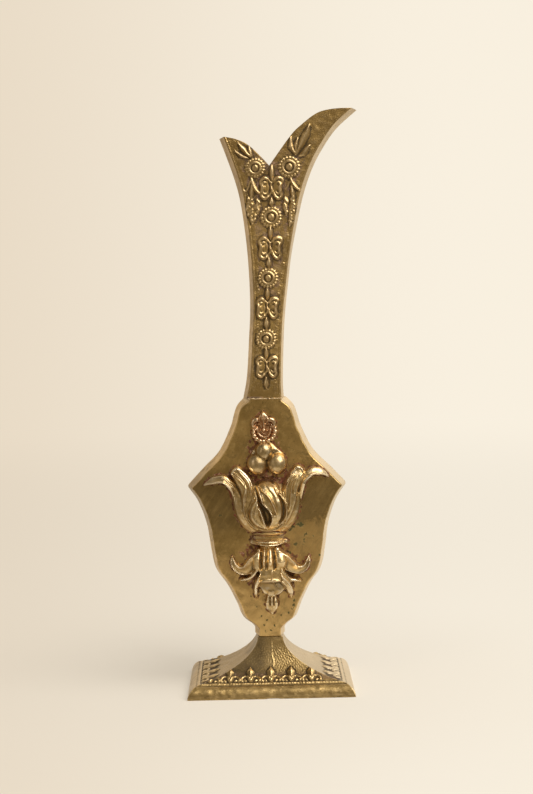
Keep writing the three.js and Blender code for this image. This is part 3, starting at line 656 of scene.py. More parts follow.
def tulip():
    f = Relief((-36, 35), (78.5, 121), 0.17, -3)
    # The bowl, with its rim below the petals' tips
    under = 7.7 * np.sqrt(f.egg(-0.3, 97.5, 17.5, 17.6, 21))
    bowl = under * ramp(f.z, 110, 103)
    f.raise_to(bowl + 0.25, bowl)
    f.leaf([(0.3, 79.4), (0.3, 84)], [8.2, 8.8], [0.3, 0.4], crown=2.3, over=False, blunt=6)
    # Outer petals, thrown outwards
    for side, spine in (
            (-1, [(-3.7, 83.6), (-7.6, 85.4), (-10.8, 88.2), (-13.3, 92), (-14.7, 96.5), (-15.3, 100.2),
                  (-16, 103.2), (-16.9, 105.8), (-18.5, 108), (-20.6, 110.1), (-22.8, 111.1),
                  (-24.9, 111), (-29, 109.9), (-33.3, 107.7)]),
            (1, [(2.8, 83.5), (6.8, 85.3), (10.1, 88.2), (12.4, 91.5), (13.9, 95.1), (15, 99.6),
                 (16.2, 104), (17.2, 107.3), (18.3, 110.3), (20.3, 112.4), (23.2, 114.2),
                 (26.5, 114.2), (29.8, 112.9), (32.3, 110.5)])):
        f.leaf(spine, [0.6, 1.5, 2.3, 2.8, 2.8, 2.5, 2.4, 2.1, 0.4],
               [0.15, 0.2, 0.3, 0.5, 2.6, 5.3, 4.9, 3.6, 1.2], on=under, share=[1, 1, 1, 1, 0.6, 0, 0, 0, 0],
               crown=[0.2, 0.3, 0.5, 0.8, 1, 1, 0.9, 0.7, 0.3],
               lean=side * np.array([0, 0, 0, 0.3, 0.9, 1.4, 1.4, 1, 0.2]))
    f.ridge([(-33.4, 107.6), (-29, 109.1), (-24.9, 109.9), (-22.8, 109.6), (-20.6, 108.6),
             (-19, 107.1), (-18, 105.4), (-17.5, 103.2), (-17.1, 100.2)], 0.5, 0.75)
    f.ridge([(-23.5, 112.2), (-21.3, 111.3), (-19.9, 109.7), (-18.1, 108.4), (-16.7, 106.9),
             (-15.4, 105), (-14.6, 103.7)], 0.4, 0.5)
    f.ridge([(32.2, 110.4), (30, 112.2), (27.8, 113.2), (25.8, 113.6), (23.6, 113.3), (21, 111.9),
             (19, 109.9), (17.9, 107.7), (17.5, 105.4), (16.5, 103.2), (15.4, 101)], 0.5, 0.75)
    # Inner petals, upright and ribbed
    f.leaf([(-11.2, 91), (-10.9, 96), (-10.6, 100.1), (-10.2, 103.8), (-10.6, 107.1), (-12, 110.1),
            (-14.3, 113.1), (-16.4, 115.2)], [0.5, 1.3, 2.1, 3, 3.7, 4, 3.8, 3.2],
           [5.4, 6.3, 6.9, 7.4, 7.4, 6.9, 6, 4.6], crown=1.1, lean=0.3, blunt=1.7)
    f.leaf([(9.1, 87.8), (10.4, 91.9), (11.2, 95.9), (11.8, 100.4), (12, 104.8), (13.1, 108.9),
            (14.9, 112.4), (16.7, 115.8)], [0.6, 1.4, 2.2, 3, 3.4, 3.6, 3.6, 3],
           [5, 6.2, 6.9, 7.4, 7.4, 7, 6.1, 4.7], crown=1.2, lean=0.2, blunt=1.7)
    f.ridge([(-18.4, 114), (-16.4, 112.8), (-14.4, 111.3), (-12.5, 109), (-11.4, 106.8), (-11.6, 104.6),
             (-12.4, 100.9), (-12.5, 97.2), (-12, 93.4), (-10.8, 90.4), (-8.7, 87.3), (-5.8, 84.8)],
            0.55, 1.15)
    f.ridge([(-17.1, 114.7), (-14.1, 112.4), (-11.9, 109.8), (-10.7, 106.8), (-10.8, 103.8),
             (-11.4, 100.9), (-11.7, 97.9)], 0.5, 0.95)
    f.ridge([(-15.1, 116.3), (-12.9, 113.9), (-10.5, 111.2), (-9.2, 108.6), (-8.6, 106), (-8.1, 103)],
            [0.5, 0.8, 1, 1, 0.8, 0.4], 1.1)
    f.ridge([(-18.9, 113.4), (-17.6, 115.1), (-16.2, 116.3)], 0.5, 0.6)
    f.ridge([(-16.5, 116), (-14.3, 117.1)], 0.5, 0.4)
    f.ridge([(13.5, 113.6), (11.3, 111.9), (9.4, 109.7), (8.5, 106.7), (8.2, 103.4), (8.9, 100.4),
             (9.6, 97.4), (9.9, 94.1), (9.1, 90.8), (7.4, 87.7)], 0.6, 1.25)
    f.ridge([(14, 113.1), (12, 111.1), (10.7, 108.9), (9.9, 106), (9.7, 102.6), (10, 99.7),
             (10.5, 96.7)], 0.5, 0.9)
    f.ridge([(15.6, 112.5), (13.8, 110.5), (12.7, 107.8), (12.2, 104.1), (11.8, 100.4), (11.4, 97.4),
             (10.6, 94.5)], [0.4, 0.5, 0.6, 0.65, 0.6, 0.5], 0.9)
    f.ridge([(18.7, 113.8), (16.7, 112.1), (15, 110.3), (14.3, 107.7), (14, 104)], 0.7, 0.5)
    f.ridge([(15.9, 118.1), (15, 116.6), (14, 115)], [0.6, 0.9, 0.6], 0.7)
    f.ridge([(16.4, 118.6), (17.8, 116.6), (19, 113.5)], 0.45, 0.6)
    # The bud: one petal curls over from the right and shows its hollow side at the left
    inside = f.egg(-0.5, 97.3, 10.3, 12.6, 13.2)
    bud = under * (1 - ramp(f.z, 98, 109) * (1 - inside ** 0.4)) + 2.5 * inside ** 0.4
    f.raise_to(bud, inside)
    f.ridge([(-10.7, 96.4), (-10.7, 93.4), (-9.7, 90.4), (-7.2, 87), (-3.7, 84.7), (-0.1, 83.9),
             (3.6, 84.4), (6.9, 86.4), (9.4, 89.3), (10.9, 93), (11.2, 94.8)], 0.5, 0.6)
    f.ridge([(-9.1, 86.3), (-5.8, 83.9), (-2.2, 82.9), (1.4, 82.9), (5, 83.5), (8.3, 85.2)], 0.8, -0.4)
    f.leaf([(-0.6, 85.4), (-4.4, 87.5), (-6.7, 91), (-7.1, 95), (-6.2, 98.6), (-5.2, 101.7)],
           [0.8, 2.1, 2.7, 2.6, 1.9, 0.5], [0.1, 0.3, 0.5, 0.5, 0.4, 0.1], crown=0.7, on=bud)
    f.ridge([(-6.6, 101.9), (-7.9, 100), (-8.9, 98.2), (-9.6, 96.4)], 0.45, 0.6)
    f.ridge([(-4.8, 101.5), (-7, 98.5), (-8.3, 95.6), (-8.4, 92.3), (-7, 89.3), (-4.9, 87.2),
             (-2.2, 86)], [0.4, 0.6, 0.7, 0.8, 1.2, 1.2, 0.6], 0.7)
    f.ridge([(-5.2, 98.3), (-6.3, 95.7), (-6.6, 92.8)], 0.45, 0.65)
    f.leaf([(-0.1, 85.7), (0, 88.4), (0, 91), (-0.9, 93.6), (-2, 95.7), (-3.7, 98.4), (-4.5, 101),
            (-5.3, 104), (-6.4, 107.8)], [0.3, 1.4, 2, 1.8, 1.1, 0.6, 0.4, 0.35, 0.3],
           [6.8, 5.2, 4.6, 4.7, 5.4, 6.4, 6.8, 6.2, 4.6])
    lip = [(-4.6, 96.1), (-3.7, 95.1), (-3.2, 93.3), (-2.5, 91), (-1.6, 88.4), (-0.4, 86.1)]
    f.ridge(lip, [0.6, 0.75, 0.8, 0.8, 0.75, 0.5], 1.5)
    for n, (x, z) in enumerate(spline(lip, 11)[1:-1]):
        f.ridge([(x - 0.55, z + 0.25 * (-1) ** n), (x + 0.55, z - 0.1)], 0.28, 0.35)
    f.leaf([(-4, 107), (-2, 103.1), (-0.3, 99.6), (1.7, 96.2), (3.8, 92.8)],
           [0.3, 1.6, 2, 1.6, 0.4], -0.6, hollow=0.35, on=bud)
    f.ridge([(0.3, 107.7), (3.2, 105), (4.9, 101.3), (6, 97.5), (6.3, 93.8), (6.6, 90.1)], 1.5, 0.55)
    f.ridge([(-6.2, 108.8), (-4.7, 106.3), (-3.7, 103.7), (-2.8, 100.7), (-2.3, 98.1), (-0.6, 96.1),
             (1.2, 93.9), (2.1, 91.9), (2.1, 90), (1.5, 87.9), (0.3, 85.9)], 0.5, 1.15, taper=False)
    f.ridge([(-3.7, 107), (-2.6, 105.5), (0.3, 102.5), (2, 99.8), (3.4, 96.8), (4.2, 93.7)],
            [0.4, 0.6, 0.75, 0.75, 0.6, 0.4], 1.5)
    f.ridge([(3.9, 106.1), (6, 102.7), (7.6, 99), (8, 95.3), (7.3, 90.8), (5.4, 87.5)], 0.8, -1)
    f.ridge([(5, 104.8), (7.1, 102.4), (8.6, 100), (9.3, 97.3), (9.5, 94.3), (8.6, 90.8), (6.5, 87.9),
             (4.3, 86)], 0.55, 1.25)
    f.soften(0.12)
    below = 83.5 - 0.012 * (f.x - 0.3) ** 2
    f.h -= 0.8 * bell(f.z - below, 0.4) * (f.h > 0) * (f.z < 84.4)
    f.stain = 0.9 * bell(f.z - below, 0.55) + 0.7 * bell(f.z - 81.2, 0.5)
    return f


def calyx():
    f = Relief((-24, 25), (44.5, 77), 0.17, -3)
    # Two wide leaves that spread and curl up at their ends
    for lean, spine in ((-1.3, [(4.5, 71.4), (8, 68.4), (11.5, 65.3), (14.5, 63.4), (17.6, 63.8),
                                (19.9, 66.1), (21.3, 71.2)]),
                        (1.3, [(-4.6, 71), (-7.2, 68.2), (-10, 65.2), (-13, 63.4), (-16.2, 64.2),
                               (-18.4, 66.9), (-19, 71.4)])):
        f.leaf(spine, [3, 3.9, 3.5, 2.6, 2, 1.5, 0.3], [6.4, 6.6, 5.6, 4.6, 3.9, 3.3, 2.2],
               crown=0.4, hollow=0.9, lip=0.5, lean=lean)
    f.ridge([(7.6, 65.9), (9.6, 63), (12.1, 61.1), (14.6, 60.6), (17, 61.3), (19.3, 62.6), (21, 65.4),
             (21.8, 70)], 0.6, 1.4)
    f.ridge([(-7.4, 64.9), (-9.6, 62.2), (-12.3, 60.9), (-15.1, 61.5), (-18.2, 63.6), (-20, 67),
             (-19.4, 70.4)], 0.6, 1.3)
    f.leaf([(6.2, 64.4), (8.4, 60.9), (10.9, 58.6), (13.8, 58), (16.8, 57.2)],
           [1, 1.4, 1.3, 1.2, 0.6], [7.6, 6.4, 5.2, 4.2, 2.6], crown=1.4)
    f.leaf([(-6.3, 63.8), (-7.6, 62), (-9.1, 60.4), (-11.2, 59.2), (-13.2, 58.8), (-15.6, 58.2)],
           [0.9, 1.2, 1.2, 1.1, 1.1, 0.5], [7.4, 6.4, 5.4, 4.8, 3.8, 2.4], crown=1.3)
    # Below the bell the casting spreads to two prongs with a hollow face between them
    f.leaf([(0.6, 61), (1.6, 56.4), (1.2, 51)], [6.4, 8.2, 4.6], [8.8, 6.8, 4.6], crown=-1.8, blunt=4)
    f.leaf([(-3.8, 62), (-5.6, 59.2), (-6.7, 56), (-6.9, 52), (-6.5, 47.6)], [1.3, 1.4, 1.2, 1.2, 0.5],
           [8.6, 8.4, 7.2, 5.6, 3], crown=0.9)
    f.leaf([(5, 62), (7.2, 59.2), (9.6, 55.8), (10.9, 52), (11.2, 48)], [1.4, 1.8, 2, 1.8, 0.5],
           [8.6, 8.4, 7.2, 5.6, 3], crown=1)
    f.leaf([(0.4, 65), (0.7, 61.6), (0.8, 58.8)], [6.2, 5.2, 6], [7.4, 8.2, 8.2], crown=[0.6, 0.5, 0.3],
           blunt=4)
    f.ridge([(-6.6, 55), (-5.4, 57.6), (-2.4, 58.5), (1.1, 58.8), (4.4, 58.4), (7.6, 57.2), (9.4, 55)],
            [0.5, 0.8, 1, 1, 1, 0.8, 0.5], [0.3, 0.6, 0.7, 0.7, 0.7, 0.6, 0.3])
    # The bell: full at its sides, with three flutes between
    f.leaf([(0.2, 75.6), (0.3, 72), (0.4, 68.5), (0.4, 65)], [5.2, 7, 8.2, 7.2], 0.4,
           crown=[5, 8, 9.5, 8.2], over=False, blunt=4)
    f.leaf([(4.4, 74.2), (5.4, 70.6), (5.8, 67.6), (5, 65.4)], [1.8, 3.2, 3.6, 2.8],
           [4.6, 5.4, 5.8, 4.6], crown=[2.2, 3.9, 4.4, 3.8], over=False)
    f.leaf([(-4.8, 73.8), (-5.5, 69.8), (-5.4, 66.2)], [1.6, 2.9, 2.8], [4.6, 5.4, 5],
           crown=[2.2, 3.5, 3.6], over=False)
    for x, half in ((-4, 0.95), (-1.1, 0.9), (2.9, 0.95)):
        f.ridge([(0.8 * x, 76), (x, 69.6), (1.03 * x, 64.4)], half, [-1, -1.8, -1.3])
    f.ridge([(-1.9, 75.2), (-2.6, 70), (-2.6, 66)], 0.6, 0.7)
    f.ridge([(0.8, 75.2), (0.9, 70), (0.9, 66)], 0.85, 0.6)
    f.ridge([(-6.4, 64.6), (-5, 62.2), (-5.8, 59.4), (-7.2, 56.6), (-7.5, 53.4), (-7.2, 49.6)],
            [0.5, 0.6, 0.6, 0.5, 0.5, 0.4], 0.8)
    f.ridge([(7, 64.6), (6.2, 62.2), (7.8, 59.6), (10.8, 56.4), (12.2, 53), (11.8, 49.6)],
            [0.5, 0.6, 0.6, 0.5, 0.5, 0.4], 0.8)
    f.ridge([(1.7, 64), (1.6, 60.6), (2.4, 56.8), (4.4, 53.6)], 0.4, [0.4, 0.6, 0.9, 0.4])
    f.leaf([(1.1, 52), (1.1, 49)], [2.1, 1.7], [3, 2.2], crown=1.3, over=False, blunt=2)
    f.soften(0.12)
    # A painted shade over the hollow face between the prongs
    hollow = ((f.x - 1.4) / 7.6) ** 2 + ((f.z - 55.2) / 3.6) ** 2
    f.dust = 0.26 * ramp(1 - hollow, 0, 0.5)
    return f


def collar():
    f = Relief((-11, 12), (74, 82), 0.13, -3)
    f.leaf([(-8.3, 78), (-4.2, 77.7), (0.2, 77.6), (4.8, 77.7), (8.9, 78.1)],
           [1.5, 1.7, 1.75, 1.7, 1.5], [1.6, 5.8, 6.8, 5.8, 1.6], crown=0.5)
    f.ridge([(-7.2, 78.6), (-3.8, 78.7), (0.9, 78.6), (5.3, 78.7), (8.8, 79)], 0.8, 1)
    f.ridge([(-6.3, 77.7), (-3.1, 76.9), (0.9, 76.6), (4.9, 76.8), (8.5, 77.7)], 0.6, 0.8)
    f.ridge([(-5.9, 77.9), (-3, 77.6), (0.9, 77.4), (4.9, 77.5), (7.8, 78)], 0.3, -0.5)
    f.soften(0.11)
    return f


def berries():
    f = Relief((-13, 13), (110.5, 133), 0.17, -3)
    # A low pad with the three fruits on it
    f.leaf([(-0.9, 130.4), (-0.6, 125), (0, 120.5), (0.1, 116.6)], [3, 7, 10.2, 5.8],
           [0.9, 1.5, 1.4, 0.5], crown=[0.9, 1.7, 1.2, 0.8])
    f.leaf([(-1, 131), (-0.9, 128.6)], [1.5, 2.2], [0.5, 0.6], crown=[0.7, 1.4], over=False)
    for x, z, radius, height, base, stretch in ((-1.3, 125, 4.7, 5.6, 1.2, 1.1),
                                                (-5, 118.4, 5.45, 6, 1, 1.1),
                                                (5.3, 118.5, 5.5, 6.1, 1, 1.08)):
        f.dome(x, z, radius, height, stretch, base)
    f.soften(0.11)
    return f


def palmette():
    f = Relief((-10, 8), (128, 148), 0.12, -2)
    f.leaf([(-1.3, 131.6), (-1.2, 134.5), (-1.1, 139.5)], [4, 5.6, 4.4], [1, 1.25, 0.9],
           crown=0.5, blunt=1.6)
    # Beads round the wreath, and the ring within them
    for x, z, r in ((-6.1, 136.6, 1.2), (-6.35, 134.8, 1.15), (-5.95, 133, 1.25), (-4.9, 131.4, 1.25),
                    (-3.2, 130.4, 1.2), (-1.4, 130.2, 1.15), (4.4, 136.9, 1.25), (4.6, 135, 1.35),
                    (4.1, 133.1, 1.35), (3, 131.5, 1.3), (1.2, 130.6, 1.2)):
        f.dome(x, z, 1.2 * r, 2.2, base=1.1)
    f.ridge([(-4.2, 138), (-4.3, 135.8), (-3.6, 134), (-2, 132.7), (-0.2, 132.6), (1.5, 133.5),
             (2.3, 135.4), (2.4, 137.6)], 0.75, 1.35)
    f.ridge([(-2.7, 136.6), (-2.3, 135.2), (-1.1, 134.3), (0.2, 134.9), (0.9, 136.3)], 0.42, 0.8)

    def beside(side, *points):
        return np.array(points) * (side, 1) - (1.2, 0)

    # Side lobes, curling in
    for side in (-1, 1):
        f.leaf(beside(side, (0.4, 138), (1.4, 140), (2.9, 141.2), (4.5, 140.9), (5.2, 139.2), (4.8, 137.4)),
               [0.5, 0.9, 1.3, 1.5, 1.5, 0.9], [1.7, 2, 2.3, 2.3, 2, 1.5], crown=1.3)
        f.ridge(beside(side, (0.9, 137), (1.6, 138.5), (2.9, 139.2), (3.9, 138.5), (3.7, 137.2)), 0.55, 1.1)
        f.ridge(beside(side, (1.7, 139.6), (3.1, 140.2), (4.3, 139.6), (4.8, 138.3)), 0.34, -0.8)
    # The pointed lobe at the top
    f.leaf([(-1.1, 137.6), (-1.2, 139.6), (-1.3, 142), (-1.4, 144), (-1.6, 145.9)],
           [0.8, 2, 2.9, 2.1, 0.3], [2.2, 2.5, 2.8, 2.5, 1.3], crown=1.2, lean=0.3)
    f.ridge([(-1.5, 145.4), (-1.5, 143), (-1.3, 140.4), (-1.1, 138)], 0.45, 0.7)
    f.ridge([(-2.8, 143), (-2.7, 141), (-1.9, 139.4)], 0.34, -0.5)
    f.ridge([(0.3, 143), (0.2, 141), (-0.4, 139.4)], 0.34, -0.5)
    f.dome(-1.1, 136.2, 1.3, 3, base=0.9)
    f.soften(0.08, 0.2)
    return f


def drop():
    f = Relief((-4, 6), (38, 51.5), 0.13, -2)
    f.leaf([(1.2, 49.6), (1.2, 46.4), (1.2, 43.2), (1.3, 39.8)], [2.8, 3.6, 3.1, 0.5],
           [1.2, 1.4, 1.2, 0.8], crown=[1.4, 2, 1.8, 0.6], blunt=1.5)
    f.leaf([(1.2, 49.4), (1.2, 46.4), (1.2, 43.4), (1.3, 40)], [2.4, 3.2, 3, 0.7],
           [3, 3.3, 3.1, 2.2], crown=[0.9, 1.3, 0.9, 0.3], blunt=1.5)
    for x in (0.2, 2.2):
        f.ridge([(x + 0.1, 49.6), (x, 46.6), (x + 0.1, 44.6)], 0.45, -0.7)
    f.ridge([(1.2, 49.4), (1.2, 46.4), (1.2, 44.4)], 0.6, 0.7)
    f.soften(0.1, 0.2)
    return f


MOUNTS = {"palmette": palmette(), "berries": berries(), "tulip": tulip(), "collar": collar(),
          "calyx": calyx(), "drop": drop()}

# Each is made slightly uneven, with patchy residue low down, and stands on the front and the back
for key, f in MOUNTS.items():
    f.h = np.where(f.h > 0, f.h + 0.03 * f.noise(3.5, 11, 0.5), f.h)
    patchy = np.clip(0.5 + 0.5 * f.noise(4, 12, 0.6), 0, 1)
    stained_below, slot = (0.9, "copper_brass") if key == "palmette" else (2.2, "mount_brass")
    rim_stain = ramp(stained_below - f.h, 0, 0.6 * stained_below) * (0.5 + 0.5 * patchy)
    f.stain = np.maximum(f.stain, rim_stain)
    size, reach = (0.6, 0.9) if key in ("palmette", "drop") else (1, 1.9)
    front = relief_mesh(f"{key}_front", slot, f, size, reach)
    turned_copy(front, f"{key}_back", HALF_TURN)


# Body: a plate with soft dents, pits, green specks and residue round the mounts

# Green specks: x, z and size
VERDIGRIS = [(13.1, 85.2, 0.9), (17.4, 86.1, 1.3), (16.3, 86.4, 0.8), (19.6, 81, 0.95), (18.6, 78.7, 0.6),
             (14.2, 76.1, 1), (18.5, 76.5, 0.75), (11.5, 83.6, 0.8), (11, 71.7, 0.9), (9.8, 72, 0.7),
             (15, 86.2, 0.5), (23.5, 80.2, 0.5), (26.5, 70, 0.7), (-24.5, 92, 0.5), (20, 66.5, 0.5),
             (-3, 34, 0.55), (-1.5, 36.5, 0.5), (2.5, 33.5, 0.55), (0.5, 31, 0.5), (-2.2, 30.6, 0.5),
             (1.8, 37.8, 0.45), (-4.4, 38.6, 0.45), (3.9, 41.2, 0.45), (12.5, 44, 0.75), (12.9, 46.5, 0.6),
             (11.8, 42.4, 0.5), (9.8, 40, 0.5), (-9.5, 49, 0.5), (5.8, 38.8, 0.5), (-6.8, 43.7, 0.45)]

# Wider residue beside the mounts: x, z, and the half width and height
RESIDUE = [(5.5, 110.6, 4.2, 1.6), (-4.5, 111.6, 3.2, 1.4), (9.5, 113.6, 2.2, 2.2), (-8.2, 127, 1.4, 3.4),
           (5.8, 127.5, 1.2, 3), (-9.6, 73, 2.2, 4.2), (9.8, 76.4, 1.8, 3), (-8.6, 80.8, 1.4, 2),
           (-9.4, 57.6, 2.4, 3.4), (13.2, 58, 1.4, 2.2), (-13.6, 71.5, 2.6, 2), (13, 70, 2.4, 1.6)]


def body_plate():
    f = Relief((-45, 45), (26, 154), 0.5)
    # Soft dents
    f.h += 0.05 * f.noise(17, 21, 0.5) + 0.02 * f.noise(6, 22, 0.4)
    # Residue round the mounts and in wider patches
    covered = np.zeros(f.h.shape)
    for mount in MOUNTS.values():
        inside = ((f.x > mount.xs[0]) & (f.x < mount.xs[-1]) & (f.z > mount.zs[0]) & (f.z < mount.zs[-1]))
        covered = np.maximum(covered, np.where(inside, mount.sample(mount.h, f.x, f.z) > 0, 0))
    near = np.clip(2.2 * blur(covered, f.step, 0.9), 0, 1)
    for x, z, half_x, half_z in RESIDUE:
        near = np.maximum(near, 1.3 * np.exp(-((f.x - x) / half_x) ** 2 - ((f.z - z) / half_z) ** 2))
    f.stain = np.clip(near * (0.75 + 0.45 * f.noise(2.8, 23, 0.6)), 0, 1)
    # The plate rises a little where a mount is soldered to it
    f.h += 0.18 * ramp(blur(covered, f.step, 0.7), 0.2, 0.8) * (1 - covered)
    # Green specks
    for x, z, size in VERDIGRIS:
        f.green += np.exp(-((f.x - x) ** 2 + (f.z - z) ** 2) / (0.22 + 0.8 * size) ** 2)
    f.green = np.clip(f.green * 1.4 * (1 + 0.7 * f.noise(1.2, 26, 0.5)), 0, 1)
    # Pits, more of them lower down
    rng = np.random.default_rng(24)
    for _ in range(150):
        x, z = rng.uniform(-38, 38), 30 + 118 * rng.uniform(0, 1) ** 1.6
        size, depth = rng.uniform(0.5, 1.1), rng.uniform(0.05, 0.16)
        f.h -= depth * np.exp(-((f.x - x) ** 2 + (f.z - z) ** 2 * rng.uniform(0.3, 1.2)) / size ** 2)
    return f


def rounded(line, sigma):
    """A side line with its corner at the tip rounded"""
    step = 0.1
    heights = np.arange(line[:, 1].min(), line[:, 1].max() + step, step)
    x = x_at(line, heights)
    reach = int(4 * sigma / step)
    weights = np.exp(-(np.arange(-reach, reach + 1) * step / sigma) ** 2 / 2)
    padded = np.concatenate([2 * x[0] - x[reach:0:-1], x, 2 * x[-1] - x[-2:-reach - 2:-1]])
    soft = np.convolve(padded, weights / weights.sum(), "valid")
    share = ramp(np.abs(heights - TIP_HEIGHT), 6, 3)
    return np.stack([soft * share + x * (1 - share), heights], 1)


def build_body():
    z = np.unique(np.round(np.concatenate([np.arange(STEM_FOOT, JOINT, 0.5), [TIP_HEIGHT, JOINT]]), 3))
    # The edges waver a little, and the face narrows at the joint
    waver = 0.045 * noise((len(z), 8), 0.5, 7, 25, 0.35)[:, 0]
    shoulder = 1.4 * ramp(z, 148.2, JOINT)
    sides = []
    for sign, line in ((1, BODY_LEFT), (-1, BODY_RIGHT)):
        face = offset_line(line, -sign * BODY_SPLAY)
        sides.append((z, x_at(rounded(line, 0.75), z) + waver * 0.5,
                      x_at(rounded(face, 0.5), z) + waver + sign * shoulder, 0 * z))
    # The right band gets a painted sheen
    front = half_shell("body_front", "plate_brass", sides, body_plate(), plate=2.4, wall=2.2,
                       columns=(64, 64), pale=(0, 0.85))
    turned_copy(front, "body_back", HALF_TURN)


build_body()


# Neck: rosettes, scroll bows, husks and leaves over a stippled ground

def neck_faces():
    """The edges of the neck's face; its right band is the narrower one low down"""
    left, right = offset_line(NECK_LEFT_LINE, -NECK_SPLAY), offset_line(NECK_RIGHT_LINE, NECK_SPLAY)
    left[:, 0] -= 0.3 * ramp(left[:, 1], 262, 225)
    right[:, 0] += 0.75 * ramp(right[:, 1], 262, 225)
    return left, right


# Bows: x, z and size
BOWS = ((1, 168.4, 0.93), (1.9, 198.7, 0.93), (4, 229.3, 1), (5.2, 259.7, 1))


def neck_relief(left_face, right_face):
    f = Relief((-23, 53), (150, 301), 0.22)

    def rosette(x, z, r):
        f.dome(x, z, 0.98 * r, 0.42, power=0.25)
        for k in range(18):
            turn = 2 * math.pi * (k + 0.3) / 18
            c, s = math.cos(turn), math.sin(turn)
            f.ridge([(x + 0.76 * r * c, z + 0.76 * r * s), (x + 1.03 * r * c, z + 1.03 * r * s)],
                    0.15 * r, 0.62, count=6)
        f.ring(x, z, 0.57 * r, 0.15 * r, 0.75)
        f.ring(x, z, 0.41 * r, 0.3, -0.25)
        f.dome(x + 0.1, z, 0.31 * r, 0.75, stretch=1.2, base=0.55)
        f.ridge([(x + 0.1, z - 0.9), (x - 0.1, z + 0.9)], 0.32, -0.3)

    def bow(x, z, size):
        def at(points):
            return np.array(points) * size + (x, z)

        left = at([(-0.3, 2.9), (-1.7, 4.7), (-3.1, 5.3), (-4.7, 4.6), (-5.4, 2.7), (-4.9, 0.3),
                   (-5.3, -2.2), (-5, -4.3), (-3.3, -5.3), (-1.5, -4.5), (-0.3, -2.7)])
        right = at([(0.4, 2.6), (2.4, 4.7), (4.3, 5.4), (5.8, 4.3), (5.6, 2.5), (4.8, 0.4), (5, -1.8),
                    (5.3, -3.7), (4.1, -5.3), (2.5, -4.7), (1.1, -2.7), (0.4, -0.2)])
        for wing, middle in ((left, -3.2), (right, 3.3)):
            core = np.array([x + middle * size, z])
            f.leaf([core + (0, 4.2 * size), core, core - (0, 4.2 * size)], [1.7, 2.2, 1.7], [0.4, 0.45, 0.4],
                   crown=0.15, over=False)
            widths = [0.55, 0.75, 1, 0.9, 0.75, 0.65, 0.7, 0.9, 0.95, 0.8, 0.6]
            f.ridge(wing, widths, 0.85, taper=False, count=60)
            inner = core + (wing - core) * (0.5, 0.56)
            f.ridge(inner[1:-1], [0.5, 0.62, 0.5, 0.6, 0.5], 0.6, count=50)
            f.ridge([core + (0, 1.2), core - (0.1, 1.2)], 0.5, 0.35)
        f.ridge(at([(0, 2.8), (0.1, 0.4), (0, -2.6)]), 0.6, 0.7)

    def husk(x, low, high, drop):
        widths, crown = ([0.35, 1.35, 1.1, 0.45], 0.55) if drop else ([0.5, 1.15, 1.05, 0.25], 0.2)
        f.leaf([(x, low), (x, (low + high) / 2), (x, high)], widths, [0.4, 0.5, 0.4], crown=crown,
               peak=0.3 if drop else 0.8, over=False, count=24)

    def blade(points, widths, keel=0.75):
        f.leaf(points, widths, [0.35, 0.5, 0.3], peak=keel, over=False, count=30)
        f.ridge(points, 0.26, 0.25, count=30)

    for x, z, size in BOWS:
        bow(x, z, size)
    for x, z, r in ((1, 182.8, 5.1), (2.7, 214, 5.1), (4.9, 245, 5.4), (-2.8, 270, 5),
            (14.6, 270.2, 5.5)):
        rosette(x, z, r)
    for x, low, high, drop in ((0.7, 157.4, 163, True), (1, 172.6, 178.4, False), (1.4, 188, 193.6, True),
                               (2.2, 203.2, 209.2, False), (3.3, 219.2, 224.2, True), (4.4, 234, 240.2, False),
                               (5.3, 250.4, 254.6, True), (5.7, 263.6, 271.4, False)):
        husk(x, low, high, drop)
    # Blades that rise from the horn rosettes
    blade([(18.8, 277), (21, 281.8), (23.8, 287.2), (25.2, 291.4)], [0.5, 1.7, 1.9, 0.3], 0.9)
    blade([(18.3, 276.4), (15.9, 280.4), (15.7, 285.4)], [0.4, 1.5, 0.3])
    blade([(18.5, 277.2), (18.3, 281), (19.3, 284.8)], [0.4, 1.2, 0.3])
    blade([(19.6, 275.6), (22.4, 277.2), (24, 279.6), (25.3, 280.9)], [0.4, 1.4, 1.3, 0.5])
    blade([(-4.9, 275.8), (-8.2, 279.2), (-11.3, 283)], [0.4, 1.35, 0.4])
    blade([(-4.7, 275.6), (-7.2, 277.8), (-8.6, 280.9)], [0.4, 1.1, 0.3])
    blade([(-4.4, 275.9), (-5.2, 278.4), (-5.6, 280.9)], [0.5, 1.1, 0.5])
    blade([(-6.2, 275), (-9.6, 276.4), (-13, 279)], [0.3, 0.8, 0.3])
    # Leaves that hang below them
    blade([(-4.8, 265.1), (-3.7, 260.9), (-2.3, 258.6), (-0.5, 256.9)], [0.4, 1.3, 1.3, 0.6], 0.95)
    f.ridge([(-5.3, 264), (-6.3, 260.3), (-7.8, 258.4), (-9.4, 259.3)], 0.45, 0.8)
    blade([(-4.6, 261.8), (-4.8, 258.2), (-5, 254.8)], [0.5, 1.1, 0.8])
    blade([(15.2, 264.8), (16.2, 262.2), (17.7, 260.1), (19.8, 258.5)], [0.4, 1.2, 1.2, 0.4], 0.95)
    f.ridge([(14.7, 263), (13.8, 260.5), (12.3, 258.6)], 0.45, 0.7)
    blade([(15.5, 260.8), (16, 257.7), (16.2, 254.4)], [0.5, 1.1, 0.8])
